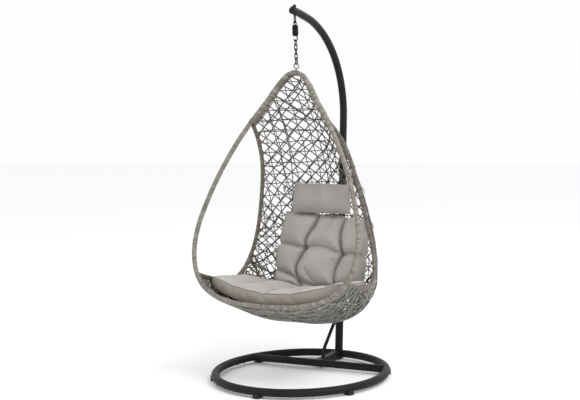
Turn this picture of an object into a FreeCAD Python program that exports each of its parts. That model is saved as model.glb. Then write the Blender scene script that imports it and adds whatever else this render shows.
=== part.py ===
import FreeCAD, Part
import math
import os

from FreeCAD import Rotation, Vector

# Hanging egg chair on a cantilever stand. Millimetres, +Z up.
# Origin: centre of the round base, on the floor. The sitter looks along -Y, the post stands at +Y.

# ---- driving dimensions: stand
RING_RADIUS = 454.0          # centreline of the round base tube
RING_TUBE = 42.0
RING_HEIGHT = 32.0           # centreline above the floor
TUBE_WALL = 1.8
CROSS_BAR_Y = 202.0
CROSS_BAR_TUBE = 40.0
REAR_BAR_SIDE = 38.0
POST_LOWER_TUBE = 44.5
POST_LOWER_WALL = 2.0
POST_UPPER_TUBE = 40.0
POST_LAP_TOP = 650.0         # height where the upper tube leaves the lower one
POST_LAP_BOTTOM = 520.0
BRACE_TUBE = 19.0
GLIDE_WIDTH = 33.0
GLIDE_ANGLES = (30, 90, 150, 210, 270, 330)

# ---- driving dimensions: suspension
HANG_Y = 64.0                # the vertical line that everything hangs from
EYE_Z = 1884.0               # centre of the eye bolt's eye
EYE_HALF_LENGTH = 9.0
EYE_RADIUS = 8.0
EYE_WIRE = 6.0
SPRING_TOP = 1853.0
SPRING_BOTTOM = 1800.8
SPRING_OUTER = 33.0
SPRING_WIRE = 4.6
HOOK_WIRE = 6.0
LOWER_HOOK_Z = 1774.0        # centre of the lower hook's wire, at the bottom of its bend
LINK_WIRE = 5.5
LINK_BEND = 7.25             # radius of a link's end bends, on the wire's centre
LINK_PITCH = 23.6
LINK_GAP = 0.3
QUICK_BEND = 9.0
RING_TOP_Z = 1657.8          # centre of the apex ring's wire, at its top
APEX_RING_RADIUS = 14.0
APEX_RING_WIRE = 7.0

# ---- driving dimensions: basket
HOOP_APEX_Y = 42.0
HOOP_APEX_Z = 1611.0
HOOP_LEAN = 18.2             # degrees from upright, top towards the post
HOOP_CORE = 19.0
HOOP_WRAP = 26.0
REAR_TUBE_OFFSET = 19.0      # second tube behind the hoop, from the side arcs up to the apex
SIDE_CORE = 16.0
SIDE_WRAP = 23.0
WEAVE_THICKNESS = 8.0
RIB_WIRE = 6.0
BACK_FULLNESS = 8.0          # how boxy the weave's cross-section is behind the sitter
SEAT_FULLNESS = 2.3          # and how boxy it is under the seat
PANEL_ENDS = (0.0, 0.30, 0.56, 0.76, 1.0)
PANEL_GAP = 0.8
RIB_COLUMNS = (5, 10, 15)
RIB_ROWS = (5, 10, 15)

# Half of the hoop: distance down the slanted axis from the apex, half width there.
HOOP_HALF = (
    (0, 0), (13, 38), (62, 84), (140, 135), (272, 228), (350, 278), (450, 332), (560, 383),
    (690, 430), (810, 463), (925, 474), (1010, 463), (1085, 434), (1145, 386), (1190, 312),
    (1218, 215), (1230, 105), (1233, 0),
)
HOOP_JUNCTION = 4            # index of the point where a side arc leaves the hoop
HOOP_LOWER_JUNCTION = 12     # index of the point where it comes back

# Right side arc, (x, y, z), from behind the upper junction round to the lower one.
ARC_SIDE = (
    (227, -24, 1347), (252, 82, 1238), (267, 133, 1138), (285, 160, 1033), (304, 173, 928),
    (324, 180, 823), (344, 181, 737), (369, 165, 640), (388, 124, 566), (399, 58, 518),
    (408, -60, 510), (416, -175, 538), (434, -297, 580),
)

# Outer line of the weave in the plane x = 0, (y, z), from behind the apex to the hoop's bottom.
BACK_LINE = (
    (66, 1592), (207, 1400), (320, 1190), (396, 990), (432, 800), (436, 640), (402, 480),
    (312, 360), (180, 300), (30, 300), (-110, 340), (-230, 388), (-340, 426),
)

# ---- driving dimensions: cushions
# Cross-sections of the seat cushion: distance from the middle, front y, rear y, upward bend, thickness.
SEAT_SECTIONS = (
    (0, -292, 196, 0, 76), (110, -292, 194, 7, 76), (205, -288, 180, 24, 76), (280, -274, 142, 45, 74),
    (332, -250, 100, 63, 68), (362, -222, 60, 75, 56), (380, -186, 22, 83, 36),
)
SEAT_TILT = 6.5              # degrees, rear edge lower
SEAT_BOTTOM_Z = 392.0        # underside at the middle, y = 0
BACK_TOP_HALF = 250.0
BACK_BOTTOM_HALF = 290.0
BACK_HEIGHT = 400.0
BACK_THICK = 84.0
BACK_LEAN = 13.0
BACK_CENTRE = (0, 289, 640)
PILLOW_WIDTH = 346.0
PILLOW_HEIGHT = 166.0
PILLOW_THICK = 74.0
PILLOW_LEAN = 4.5
PILLOW_CENTRE = (0, 300, 924)
TIE_WIDTH = 8.0
TIE_POINTS = ((-175, 300, 985), (-204, 299, 985), (-232, 316, 985), (-247, 330, 955), (-252, 327, 972))

X_AXIS = Vector(1, 0, 0)
Y_AXIS = Vector(0, 1, 0)
Z_AXIS = Vector(0, 0, 1)


def save(name, shape):
    """Write a node, moved so that the origin is on the floor straight below the hang line."""
    shape.translated(Vector(0, -HANG_Y, 0)).exportStep(os.path.join("parts", name + ".step"))


def group(solids):
    return Part.makeCompound(solids)


# ---------------------------------------------------------------- curves and tubes

def tangents(points, closed=False):
    """Direction of a smooth curve at each point: that of the circle through it and its two neighbours."""
    count = len(points)
    out = []
    for i in range(count):
        before = points[i - 1] if i or closed else None
        after = points[(i + 1) % count] if i < count - 1 or closed else None
        here = points[i]
        if before is None:
            out.append(None)
            continue
        if after is None:
            out.append(None)
            continue
        a = here - before
        b = after - here
        out.append(Vector(a * b.Length / a.Length + b * a.Length / b.Length).normalize())
    if out[0] is None:
        chord = (points[1] - points[0]).normalize()
        out[0] = (chord * (2 * chord.dot(out[1])) - out[1]).normalize()
    if out[-1] is None:
        chord = (points[-1] - points[-2]).normalize()
        out[-1] = (chord * (2 * chord.dot(out[-2])) - out[-2]).normalize()
    return out


def arc_from_tangent(start, direction, end):
    chord = end - start
    side = chord - direction * chord.dot(direction)
    if side.Length < 1e-3 * chord.Length:
        return Part.LineSegment(start, end)
    side.normalize()
    radius = chord.Length ** 2 / (2 * side.dot(chord))
    centre = start + side * radius
    middle = ((start - centre) + (end - centre)).normalize() * radius
    return Part.Arc(start, centre + middle, end)


def arcs_between(p, tp, q, tq):
    """Two tangent arcs from p to q that leave and arrive along the given directions."""
    v = q - p
    t = tp + tq
    k = 2 * (1 - tp.dot(tq))
    if k < 1e-9:
        d = v.dot(v) / (4 * v.dot(tq))
    else:
        d = (math.sqrt(v.dot(t) ** 2 + k * v.dot(v)) - v.dot(t)) / k
    joint = (p + tp * d + q - tq * d) * 0.5
    first = arc_from_tangent(p, tp, joint)
    second_direction = (q - tq * d - joint).normalize()
    return [first, arc_from_tangent(joint, second_direction, q)]


def smooth_path(points, start=None, end=None):
    """Chain of tangent arcs through coplanar points."""
    t = tangents(points)
    if start is not None:
        t[0] = start
    if end is not None:
        t[-1] = end
    edges = []
    for i in range(len(points) - 1):
        edges += arcs_between(points[i], t[i], points[i + 1], t[i + 1])
    return Part.Wire([e.toShape() for e in edges])


def start_of(wire):
    edge = wire.OrderedEdges[0]
    return edge.valueAt(edge.FirstParameter), edge.tangentAt(edge.FirstParameter)


def sweep(wire, profile):
    solid = wire.makePipeShell([profile], True, False)
    if solid.Volume < 0:
        solid.reverse()
    return solid


def round_bar(wire, diameter):
    at, along = start_of(wire)
    circle = Part.Wire([Part.makeCircle(diameter / 2, at, along)])
    return sweep(wire, circle)


def tube(wire, outer, inner):
    return round_bar(wire, outer).cut(round_bar(wire, inner))


def straight_bar(start, end, diameter):
    along = end - start
    return Part.makeCylinder(diameter / 2, along.Length, start, along)


def mirrored(shape):
    return shape.mirror(Vector(0, 0, 0), X_AXIS)


# ---------------------------------------------------------------- stand

def ring_solid(diameter, start_angle=0.0, sweep_angle=360.0):
    """Torus piece; angles are counted from +X, anticlockwise from above."""
    torus = Part.makeTorus(RING_RADIUS, diameter / 2, Vector(0, 0, RING_HEIGHT), Z_AXIS, 0, 360, sweep_angle)
    torus.rotate(Vector(0, 0, 0), Z_AXIS, start_angle)
    return torus


JOINT_ANGLE = math.degrees(math.asin(CROSS_BAR_Y / RING_RADIUS)) - 12.0


def base_ring(rear):
    start = JOINT_ANGLE if rear else 180.0 - JOINT_ANGLE
    span = 180.0 - 2 * JOINT_ANGLE if rear else 180.0 + 2 * JOINT_ANGLE
    outer = ring_solid(RING_TUBE, start, span)
    bore = ring_solid(RING_TUBE - 2 * TUBE_WALL, start, span)
    return outer.cut(bore)


def ring_point(angle):
    return Vector(RING_RADIUS * math.cos(math.radians(angle)), RING_RADIUS * math.sin(math.radians(angle)), 0)


def joint_sleeves():
    """Inner sleeves that line up the two halves of the ring."""
    width = RING_TUBE - 2 * TUBE_WALL - 0.2
    half = 5.0
    sleeves = []
    for middle in (JOINT_ANGLE, 180.0 - JOINT_ANGLE):
        outer = ring_solid(width, middle - half, 2 * half)
        bore = ring_solid(width - 5.0, middle - half, 2 * half)
        sleeves.append(outer.cut(bore))
    return sleeves


def joint_screw(angle):
    """Button-head screw from below through the ring tube into its sleeve."""
    at = ring_point(angle)
    low = RING_HEIGHT - RING_TUBE / 2
    shank = Part.makeCylinder(3.0, 9.0, at + Vector(0, 0, low - 0.5))
    head = Part.makeCone(4.0, 6.0, 3.0, at + Vector(0, 0, low - 3.2))
    socket = Part.makeCylinder(2.0, 1.8, at + Vector(0, 0, low - 3.2))
    return head.fuse(shank).cut(socket).removeSplitter()


def foot_glide(angle):
    """Plastic saddle that clips under the ring tube and rests on the floor."""
    at = Vector(0, RING_RADIUS, 0)
    corner = at + Vector(-GLIDE_WIDTH / 2, -RING_TUBE / 2 - 3.5, 0)
    body = Part.makeBox(GLIDE_WIDTH, RING_TUBE + 7.0, 27.0, corner)
    body = body.makeFillet(2.0, [e for e in body.Edges if e.Length < 28 and abs(e.tangentAt(0).z) > 0.9])
    saddle = straight_bar(at + Vector(-40, 0, RING_HEIGHT), at + Vector(40, 0, RING_HEIGHT), RING_TUBE + 2.4)
    body = body.cut(saddle)
    lighten = Part.makeBox(GLIDE_WIDTH - 8, 14.0, 5.0, at + Vector(-GLIDE_WIDTH / 2 + 4, -7.0, 2.0))
    body = body.cut(lighten)
    body.rotate(Vector(0, 0, 0), Z_AXIS, angle - 90)
    return body


def post_path():
    """Centreline of the post and its arm in the plane x = 0."""
    points = (
        (455.6, 38.0), (472.6, 180.6), (541.2, 790.5), (567.1, 1028.4), (588.6, 1240.0), (598.6, 1333.9),
        (603.5, 1401.2), (598.5, 1468.6), (573.6, 1569.7), (522.9, 1670.0), (438.3, 1768.5), (293.6, 1863.4),
        (128.0, 1914.6), (47.0, 1931.5),
    )
    return [Vector(0, y, z) for y, z in points]


POST = post_path()
POST_DIRECTION = (POST[2] - POST[0]).normalize()


def on_post(z):
    """Point of the straight lower part of the post's centreline at a height."""
    return POST[0] + POST_DIRECTION * ((z - POST[0].z) / POST_DIRECTION.z)


def post_lower():
    foot = on_post(10.0)
    top = on_post(POST_LAP_TOP)
    outer = straight_bar(foot, top, POST_LOWER_TUBE)
    bore = straight_bar(foot, top, POST_LOWER_TUBE - 2 * POST_LOWER_WALL)
    return outer.cut(bore).cut(ring_solid(RING_TUBE + 0.2)).common(
        Part.makeBox(200, 400, 800, Vector(-100, 350, RING_HEIGHT)))


def post_upper():
    straight_top = on_post(1010.0)
    bend = smooth_path([straight_top] + POST[3:], POST_DIRECTION, None)
    start = on_post(POST_LAP_BOTTOM)
    path = Part.Wire([Part.LineSegment(start, straight_top).toShape()] + bend.Edges)
    return tube(path, POST_UPPER_TUBE, POST_UPPER_TUBE - 2 * TUBE_WALL), path


def hex_bolt(at, along, diameter, length, across, head_height):
    head_prism = hex_prism(at, along * -1, across, head_height)
    return Part.makeCylinder(diameter / 2, length, at, along).fuse(head_prism).removeSplitter()


def hex_prism(at, along, across, height):
    radius = across / math.sqrt(3)
    corners = [Vector(radius * math.cos(math.radians(60 * i)), radius * math.sin(math.radians(60 * i)), 0)
               for i in range(7)]
    prism = Part.Face(Part.makePolygon(corners)).extrude(Vector(0, 0, height))
    prism.Placement = FreeCAD.Placement(at, Rotation(Z_AXIS, along))
    return prism


LAP_BOLT_HEIGHTS = (560.0, 615.0)
BOLT_D = 8.0


def lap_bolt(z):
    at = on_post(z) + Vector(POST_LOWER_TUBE / 2 + 0.4, 0, 0)
    return hex_bolt(at, Vector(-1, 0, 0), BOLT_D, 56.0, 13.0, 5.0)


def lap_nut(z):
    at = on_post(z) - Vector(POST_LOWER_TUBE / 2 + 0.4, 0, 0)
    nut = hex_prism(at, Vector(-1, 0, 0), 13.0, 6.5)
    return nut.cut(straight_bar(at + Vector(1, 0, 0), at - Vector(10, 0, 0), BOLT_D + 0.1))


def bolt_holes():
    """Clearance holes for the two bolts across the post's lap."""
    bars = [straight_bar(on_post(z) - Vector(60, 0, 0), on_post(z) + Vector(60, 0, 0), BOLT_D + 0.4)
            for z in LAP_BOLT_HEIGHTS]
    return group(bars)


def cross_bar():
    half = math.sqrt(RING_RADIUS ** 2 - CROSS_BAR_Y ** 2)
    left = Vector(-half, CROSS_BAR_Y, RING_HEIGHT)
    right = Vector(half, CROSS_BAR_Y, RING_HEIGHT)
    outer = straight_bar(left, right, CROSS_BAR_TUBE)
    bore = straight_bar(left, right, CROSS_BAR_TUBE - 2 * TUBE_WALL)
    return outer.cut(bore).cut(ring_solid(RING_TUBE + 0.2))


def rear_bar():
    start_y = CROSS_BAR_Y
    length = RING_RADIUS - start_y
    low = RING_HEIGHT - REAR_BAR_SIDE / 2
    corner = Vector(-REAR_BAR_SIDE / 2, start_y, low)
    outer = Part.makeBox(REAR_BAR_SIDE, length, REAR_BAR_SIDE, corner)
    inside = REAR_BAR_SIDE - 2 * TUBE_WALL
    bore = Part.makeBox(inside, length, inside, Vector(-inside / 2, start_y, low + TUBE_WALL))
    bar = outer.cut(bore).cut(ring_solid(RING_TUBE + 0.2))
    reach = Vector(60, 0, 0)
    middle = Vector(0, start_y, RING_HEIGHT)
    front = straight_bar(middle - reach, middle + reach, CROSS_BAR_TUBE + 0.2)
    post = straight_bar(on_post(0), on_post(200), POST_LOWER_TUBE + 0.2)
    return bar.cut(front).cut(post)


def bar_clearance():
    """Room for the cross bar and the rear bar beside the feet."""
    half = RING_RADIUS
    cross = straight_bar(Vector(-half, CROSS_BAR_Y, RING_HEIGHT), Vector(half, CROSS_BAR_Y, RING_HEIGHT),
                         CROSS_BAR_TUBE + 1.0)
    low = Vector(-REAR_BAR_SIDE / 2 - 0.5, CROSS_BAR_Y, RING_HEIGHT - REAR_BAR_SIDE / 2 - 0.5)
    rear = Part.makeBox(REAR_BAR_SIDE + 1, RING_RADIUS - CROSS_BAR_Y, 60.0, low)
    return cross.fuse(rear)


BRACE_FOOT = Vector(0, 262.0, RING_HEIGHT + REAR_BAR_SIDE / 2 + 0.1)
BRACE_KNEE = Vector(0, 277.0, 96.0)
BRACE_SLOPE = Vector(0, 107.0, 97.0).normalize()


def brace_path():
    """Upright foot, one bend, then the long diagonal that ends inside the post."""
    up = (BRACE_KNEE - BRACE_FOOT).normalize()
    cut_back = 22.0
    bend_start = BRACE_KNEE - up * cut_back
    bend_end = BRACE_KNEE + BRACE_SLOPE * cut_back
    top = BRACE_KNEE + BRACE_SLOPE * 290.0
    return Part.Wire([
        Part.LineSegment(BRACE_FOOT, bend_start).toShape(),
        arc_from_tangent(bend_start, up, bend_end).toShape(),
        Part.LineSegment(bend_end, top).toShape(),
    ])


def brace():
    body = tube(brace_path(), BRACE_TUBE, BRACE_TUBE - 3.0)
    post = straight_bar(on_post(0), on_post(500), POST_LOWER_TUBE + 0.2)
    behind = Part.makeBox(200, 400, 600, Vector(-100, 480, 0))
    body = body.cut(post).cut(behind)
    floor = Part.makeBox(200, 200, 100, Vector(-100, 200, BRACE_FOOT.z - 100))
    pieces = sorted(body.cut(floor).Solids, key=lambda s: -s.Volume)
    return pieces[0]


def end_cap(path):
    """Domed plastic plug in the open end of the arm."""
    edge = path.OrderedEdges[-1]
    at = edge.valueAt(edge.LastParameter)
    along = edge.tangentAt(edge.LastParameter).normalize()
    rim = Part.makeCylinder(POST_UPPER_TUBE / 2 + 0.8, 5.0, at + along * 0.1, along)
    bulge = Part.makeSphere(30.0, at + along * (-15.0))
    keep = Part.makeCylinder(POST_UPPER_TUBE / 2 + 0.8, 30.0, at + along * 5.1, along)
    stem = Part.makeCylinder(POST_UPPER_TUBE / 2 - TUBE_WALL - 0.1, 14.0, at - along * 13.9, along)
    return rim.fuse(bulge.common(keep)).fuse(stem).removeSplitter()


# ---------------------------------------------------------------- suspension

def arm_height(y):
    """Height of the arm's centreline at a distance y, near its end."""
    a, b = POST[-2], POST[-1]
    return a.z + (b.z - a.z) * (a.y - y) / (a.y - b.y)


HANG_TOP = arm_height(HANG_Y)
BORE_D = 16.0


def hang_cylinder(diameter, z_low, z_high):
    return Part.makeCylinder(diameter / 2, z_high - z_low, Vector(0, HANG_Y, z_low))


def arm_bushing():
    """Sleeve welded upright through the arm; the eye bolt goes through it."""
    low = HANG_TOP - 22.5
    high = HANG_TOP + 22.5
    return hang_cylinder(BORE_D, low, high).cut(hang_cylinder(10.3, low, high))


def oval_link(centre_z, half_straight, bend, wire, across):
    """Closed link: two straight sides and two round ends; across is the direction of its width."""
    sides = []
    c = Vector(0, HANG_Y, centre_z)
    up = Vector(0, 0, half_straight)
    w = across * bend
    tip = Vector(0, 0, bend)
    edges = [
        Part.LineSegment(c + w - up, c + w + up).toShape(),
        Part.Arc(c + w + up, c + up + tip, c - w + up).toShape(),
        Part.LineSegment(c - w + up, c - w - up).toShape(),
        Part.Arc(c - w - up, c - up - tip, c + w - up).toShape(),
    ]
    for first, second in ((edges[0], edges[1]), (edges[2], edges[3])):
        sides.append(round_bar(Part.Wire([first, second]), wire))
    return sides[0].fuse(sides[1]).removeSplitter()


def eye_bolt():
    top = HANG_TOP + 27.0
    eye = oval_link(EYE_Z, EYE_HALF_LENGTH, EYE_RADIUS, EYE_WIRE, Y_AXIS)
    neck = EYE_Z + EYE_HALF_LENGTH + EYE_RADIUS - EYE_WIRE / 4
    return eye.fuse(hang_cylinder(10.0, neck, top))


def dome_nut():
    low = HANG_TOP + 24.2
    at = Vector(0, HANG_Y, low)
    nut = hex_prism(at, Z_AXIS, 17.0, 6.0)
    dome = Part.makeSphere(8.4, at + Vector(0, 0, 2.5)).common(hang_cylinder(17.0, low + 5.9, low + 12))
    return nut.fuse(dome).cut(hang_cylinder(10.1, low, HANG_TOP + 27.1)).removeSplitter()


def washer(low):
    return hang_cylinder(20.0, low, low + 1.5).cut(hang_cylinder(10.4, low, low + 1.5))


EYE_WIRE_Z = EYE_Z - EYE_HALF_LENGTH - EYE_RADIUS
HOOK_TOP_Z = EYE_WIRE_Z + (EYE_WIRE + HOOK_WIRE) / 2 + LINK_GAP


def spring_top_hook():
    """Narrow wire eye that hangs from the eye bolt, with a shoulder disc that holds the coil."""
    bend = 7.0
    half = (HOOK_TOP_Z - bend - (SPRING_TOP + 9.0)) / 2
    loop = oval_link(HOOK_TOP_Z - bend - half, half, bend, HOOK_WIRE, X_AXIS)
    low_wire = HOOK_TOP_Z - 2 * bend - 2 * half
    stem = hang_cylinder(HOOK_WIRE, SPRING_TOP - 14.0, low_wire)
    plug = hang_cylinder(SPRING_OUTER - 2 * SPRING_WIRE - 1.0, SPRING_TOP - 14.0, SPRING_TOP)
    lid = hang_cylinder(SPRING_OUTER - 2.0, SPRING_TOP, SPRING_TOP + 2.0)
    return loop.fuse(stem).fuse(plug).fuse(lid).removeSplitter()


def spring_coil():
    """Close-wound extension spring, one solid ring per turn."""
    turns = int((SPRING_TOP - SPRING_BOTTOM) / SPRING_WIRE)
    radius = (SPRING_OUTER - SPRING_WIRE) / 2
    pitch = (SPRING_TOP - SPRING_BOTTOM) / turns
    rings = []
    for i in range(turns):
        z = SPRING_BOTTOM + pitch * (i + 0.5)
        rings.append(Part.makeTorus(radius, (SPRING_WIRE - 0.06) / 2, Vector(0, HANG_Y, z)))
    return rings


def spring_bottom_hook():
    """Plug in the bottom of the coil and the open hook that carries the chain."""
    plug = hang_cylinder(SPRING_OUTER - 2 * SPRING_WIRE - 1.0, SPRING_BOTTOM, SPRING_BOTTOM + 14.0)
    lid = hang_cylinder(SPRING_OUTER - 2.0, SPRING_BOTTOM - 2.0, SPRING_BOTTOM)
    r = 11.0
    low = Vector(0, HANG_Y, LOWER_HOOK_Z)
    c = low + Vector(0, 0, r)
    right = c + Vector(r, 0, 0)
    tip = c + Vector(-r * math.cos(math.radians(20)), 0, -r * math.sin(math.radians(20)))
    top = Vector(5.0, HANG_Y, SPRING_BOTTOM - 0.5)
    bend = arc_from_tangent(right, Vector(0, 0, 1), top)
    wire = Part.Wire([
        Part.Arc(tip, low, right).toShape(),
        bend.toShape(),
    ])
    hook = round_bar(wire, HOOK_WIRE)
    nose = Part.makeSphere(HOOK_WIRE / 2, tip)
    return hook.fuse(nose).fuse(lid).fuse(plug).removeSplitter()


def link_crown(index):
    """Height of the wire centre at the top of link number index (0 is the first)."""
    return LOWER_HOOK_Z + (HOOK_WIRE + LINK_WIRE) / 2 + LINK_GAP - index * LINK_PITCH


def link_centre_offset():
    """Distance between the two bend centres of a chain link."""
    return LINK_PITCH + LINK_WIRE + LINK_GAP - 2 * LINK_BEND


def chain_link(index):
    half = link_centre_offset() / 2
    across = Y_AXIS if index % 2 == 0 else X_AXIS
    return oval_link(link_crown(index) - LINK_BEND - half, half, LINK_BEND, LINK_WIRE, across)


def quick_link_parts():
    """Longer screw link: a C-shaped wire and the hexagonal sleeve nut that closes its side."""
    top = link_crown(4)
    bottom = RING_TOP_Z - (APEX_RING_WIRE + LINK_WIRE) / 2 - LINK_GAP
    half = (top - bottom) / 2 - QUICK_BEND
    middle = (top + bottom) / 2
    link = oval_link(middle, half, QUICK_BEND, LINK_WIRE, Y_AXIS)
    side = Vector(0, HANG_Y + QUICK_BEND, middle - 5.5)
    sleeve_room = Part.makeCylinder(LINK_WIRE / 2 + 0.05, 11.0, side, Z_AXIS)
    nut = hex_prism(side, Z_AXIS, 8.6, 11.0).cut(sleeve_room)
    return link, nut


# ---------------------------------------------------------------- basket frame

LEAN = math.radians(HOOP_LEAN)
HOOP_DOWN = Vector(0, -math.sin(LEAN), -math.cos(LEAN))
HOOP_BACK = Vector(0, math.cos(LEAN), -math.sin(LEAN))
APEX = Vector(0, HOOP_APEX_Y, HOOP_APEX_Z)


def hoop_point(down, half_width):
    return APEX + HOOP_DOWN * down + Vector(-half_width, 0, 0)


LEFT_HOOP = [hoop_point(s, w) for s, w in HOOP_HALF]


def hoop_wires():
    """Left half of the hoop as three stretches: apex to upper junction, to lower junction, to the bottom."""
    full = smooth_path(LEFT_HOOP, Vector(-1, 0, 0), Vector(1, 0, 0))
    edges = full.OrderedEdges
    a = 2 * HOOP_JUNCTION
    return Part.Wire(edges[:a]), Part.Wire(edges[a:]), full


def arc_wire():
    return smooth_path([Vector(-x, y, z) for x, y, z in ARC_SIDE])


def racetrack(wire, width, depth):
    """Section of the double tube: two half circles joined by flats, long way along the hoop's normal."""
    at, along = start_of(wire)
    r = width / 2
    across = HOOP_BACK.cross(along).normalize()
    back = HOOP_BACK * depth
    edges = [
        Part.LineSegment(at + across * r, at + across * r + back).toShape(),
        Part.Arc(at + across * r + back, at + back + HOOP_BACK * r, at - across * r + back).toShape(),
        Part.LineSegment(at - across * r + back, at - across * r).toShape(),
        Part.Arc(at - across * r, at - HOOP_BACK * r, at + across * r).toShape(),
    ]
    return Part.Wire(edges)


def both_sides(left):
    return left.fuse(mirrored(left)).removeSplitter()


# ---------------------------------------------------------------- weave

def points_along(wire, count):
    return wire.discretize(count)


def spline_through(points, count):
    curve = Part.BSplineCurve()
    curve.interpolate(points)
    return curve.discretize(count)


ROWS = 25
COLUMNS = 21


def ease(t):
    t = min(max(t, 0.0), 1.0)
    return t * t * (3 - 2 * t)


def weave_grid():
    """Middle surface of the weave: rows of points from left to right, the first along the hoop's top."""
    upper, lower, full = hoop_wires()
    top_left = points_along(upper, 11)
    bottom_left = points_along(Part.Wire(full.OrderedEdges[2 * HOOP_LOWER_JUNCTION:]), 11)
    arc = points_along(arc_wire(), ROWS)
    arc[0] = top_left[-1]
    arc[-1] = bottom_left[0]
    back = spline_through([Vector(0, y, z) for y, z in BACK_LINE], ROWS)
    back[0] = top_left[0] + HOOP_BACK * 10
    back[-1] = bottom_left[-1]
    half = []
    for i in range(ROWS):
        v = i / (ROWS - 1)
        power = BACK_FULLNESS + (SEAT_FULLNESS - BACK_FULLNESS) * ease((v - 0.45) / 0.35)
        row = []
        for j in range(11):
            u = j / 10.0
            top = top_left[10 - j]
            bottom = bottom_left[j]
            fullness = 1 - (1 - u) ** power
            side = arc[i] - (arc[0] * (1 - v) + arc[-1] * v)
            middle = back[i] - (back[0] * (1 - v) + back[-1] * v)
            row.append(top * (1 - v) + bottom * v + side * (1 - fullness) + middle * fullness)
        half.append(row)
    return half


def whole_rows(half):
    rows = []
    for row in half:
        other = [Vector(-p.x, p.y, p.z) for p in reversed(row[:-1])]
        rows.append(list(row) + other)
    return rows


def trimmed(points, start_cut, end_cut, count):
    """Evenly spaced points of a line of points, with a length cut off each end."""
    curve = Part.BSplineCurve()
    curve.interpolate(points)
    length = curve.length()
    first = curve.parameterAtDistance(start_cut, curve.FirstParameter)
    last = curve.parameterAtDistance(length - end_cut, curve.FirstParameter)
    out = []
    span = length - start_cut - end_cut
    for i in range(count):
        out.append(curve.value(curve.parameterAtDistance(span * i / (count - 1), first)))
    out[-1] = curve.value(last)
    return out


def surface_through(rows):
    surface = Part.BSplineSurface()
    surface.interpolate(rows)
    return surface


def surface_points(surface, v_range, rows, columns, offset):
    """Grid of points on a surface, lifted off it by a distance along its normal."""
    u0, u1, v0, v1 = surface.bounds()
    out = []
    for i in range(rows):
        a = v_range[0] + (v_range[1] - v_range[0]) * i / (rows - 1)
        u = u0 + (u1 - u0) * a
        row = []
        for j in range(columns):
            v = v0 + (v1 - v0) * j / (columns - 1)
            row.append(surface.value(u, v) + surface.normal(u, v) * offset)
        out.append(row)
    return out


def edge_middle(edge):
    return edge.valueAt((edge.FirstParameter + edge.LastParameter) / 2)


def patch_solid(outer_rows, inner_rows):
    """Closed thin solid between two grids of points."""
    outer = surface_through(outer_rows).toShape()
    inner = surface_through(inner_rows).toShape()
    faces = [outer, inner]
    outer_edges = outer.Edges
    inner_edges = inner.Edges
    for a in outer_edges:
        middle = edge_middle(a)
        nearest = min(inner_edges, key=lambda e: (edge_middle(e) - middle).Length)
        faces.append(Part.makeRuledSurface(a, nearest))
    shell = Part.makeShell(faces)
    shell.sewShape()
    solid = Part.Solid(Part.Shell(shell.Faces))
    if solid.Volume < 0:
        solid.reverse()
    return solid


def weave_rows():
    """Grid of the weave, kept clear of the tubes round its edge."""
    rows = whole_rows(weave_grid())
    trimmed_rows = []
    for i, row in enumerate(rows):
        side_cut = SIDE_WRAP / 2 + 5.0 + 3.0 * max(0, 6 - i)
        trimmed_rows.append(trimmed(row, side_cut, side_cut, COLUMNS))
    rows = trimmed_rows
    columns = [[row[j] for row in rows] for j in range(COLUMNS)]
    top_cut = HOOP_WRAP / 2 + 6.0
    columns = [trimmed(c, top_cut + 18.0, HOOP_WRAP / 2 + 4.0, ROWS) for c in columns]
    return [[columns[j][i] for j in range(COLUMNS)] for i in range(ROWS)]


def pillow_tie():
    """Fabric tie of the right side: a strap from the pillow to the weave, and the knot behind the weave."""
    inner, outer, knot, tail_a, tail_b = (Vector(*p) for p in TIE_POINTS)
    strap = flat_strap(inner, outer)
    ball = Part.makeSphere(6.5, knot)
    tails = flat_strap(knot, tail_a).fuse(flat_strap(knot, tail_b))
    return group([strap, ball.fuse(tails).removeSplitter()])


def flat_strap(start, end):
    along = end - start
    strap = Part.makeBox(TIE_WIDTH, 2.0, along.Length, Vector(-TIE_WIDTH / 2, -1.0, 0))
    strap.Placement = FreeCAD.Placement(start, Rotation(Z_AXIS, along))
    return strap


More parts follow.
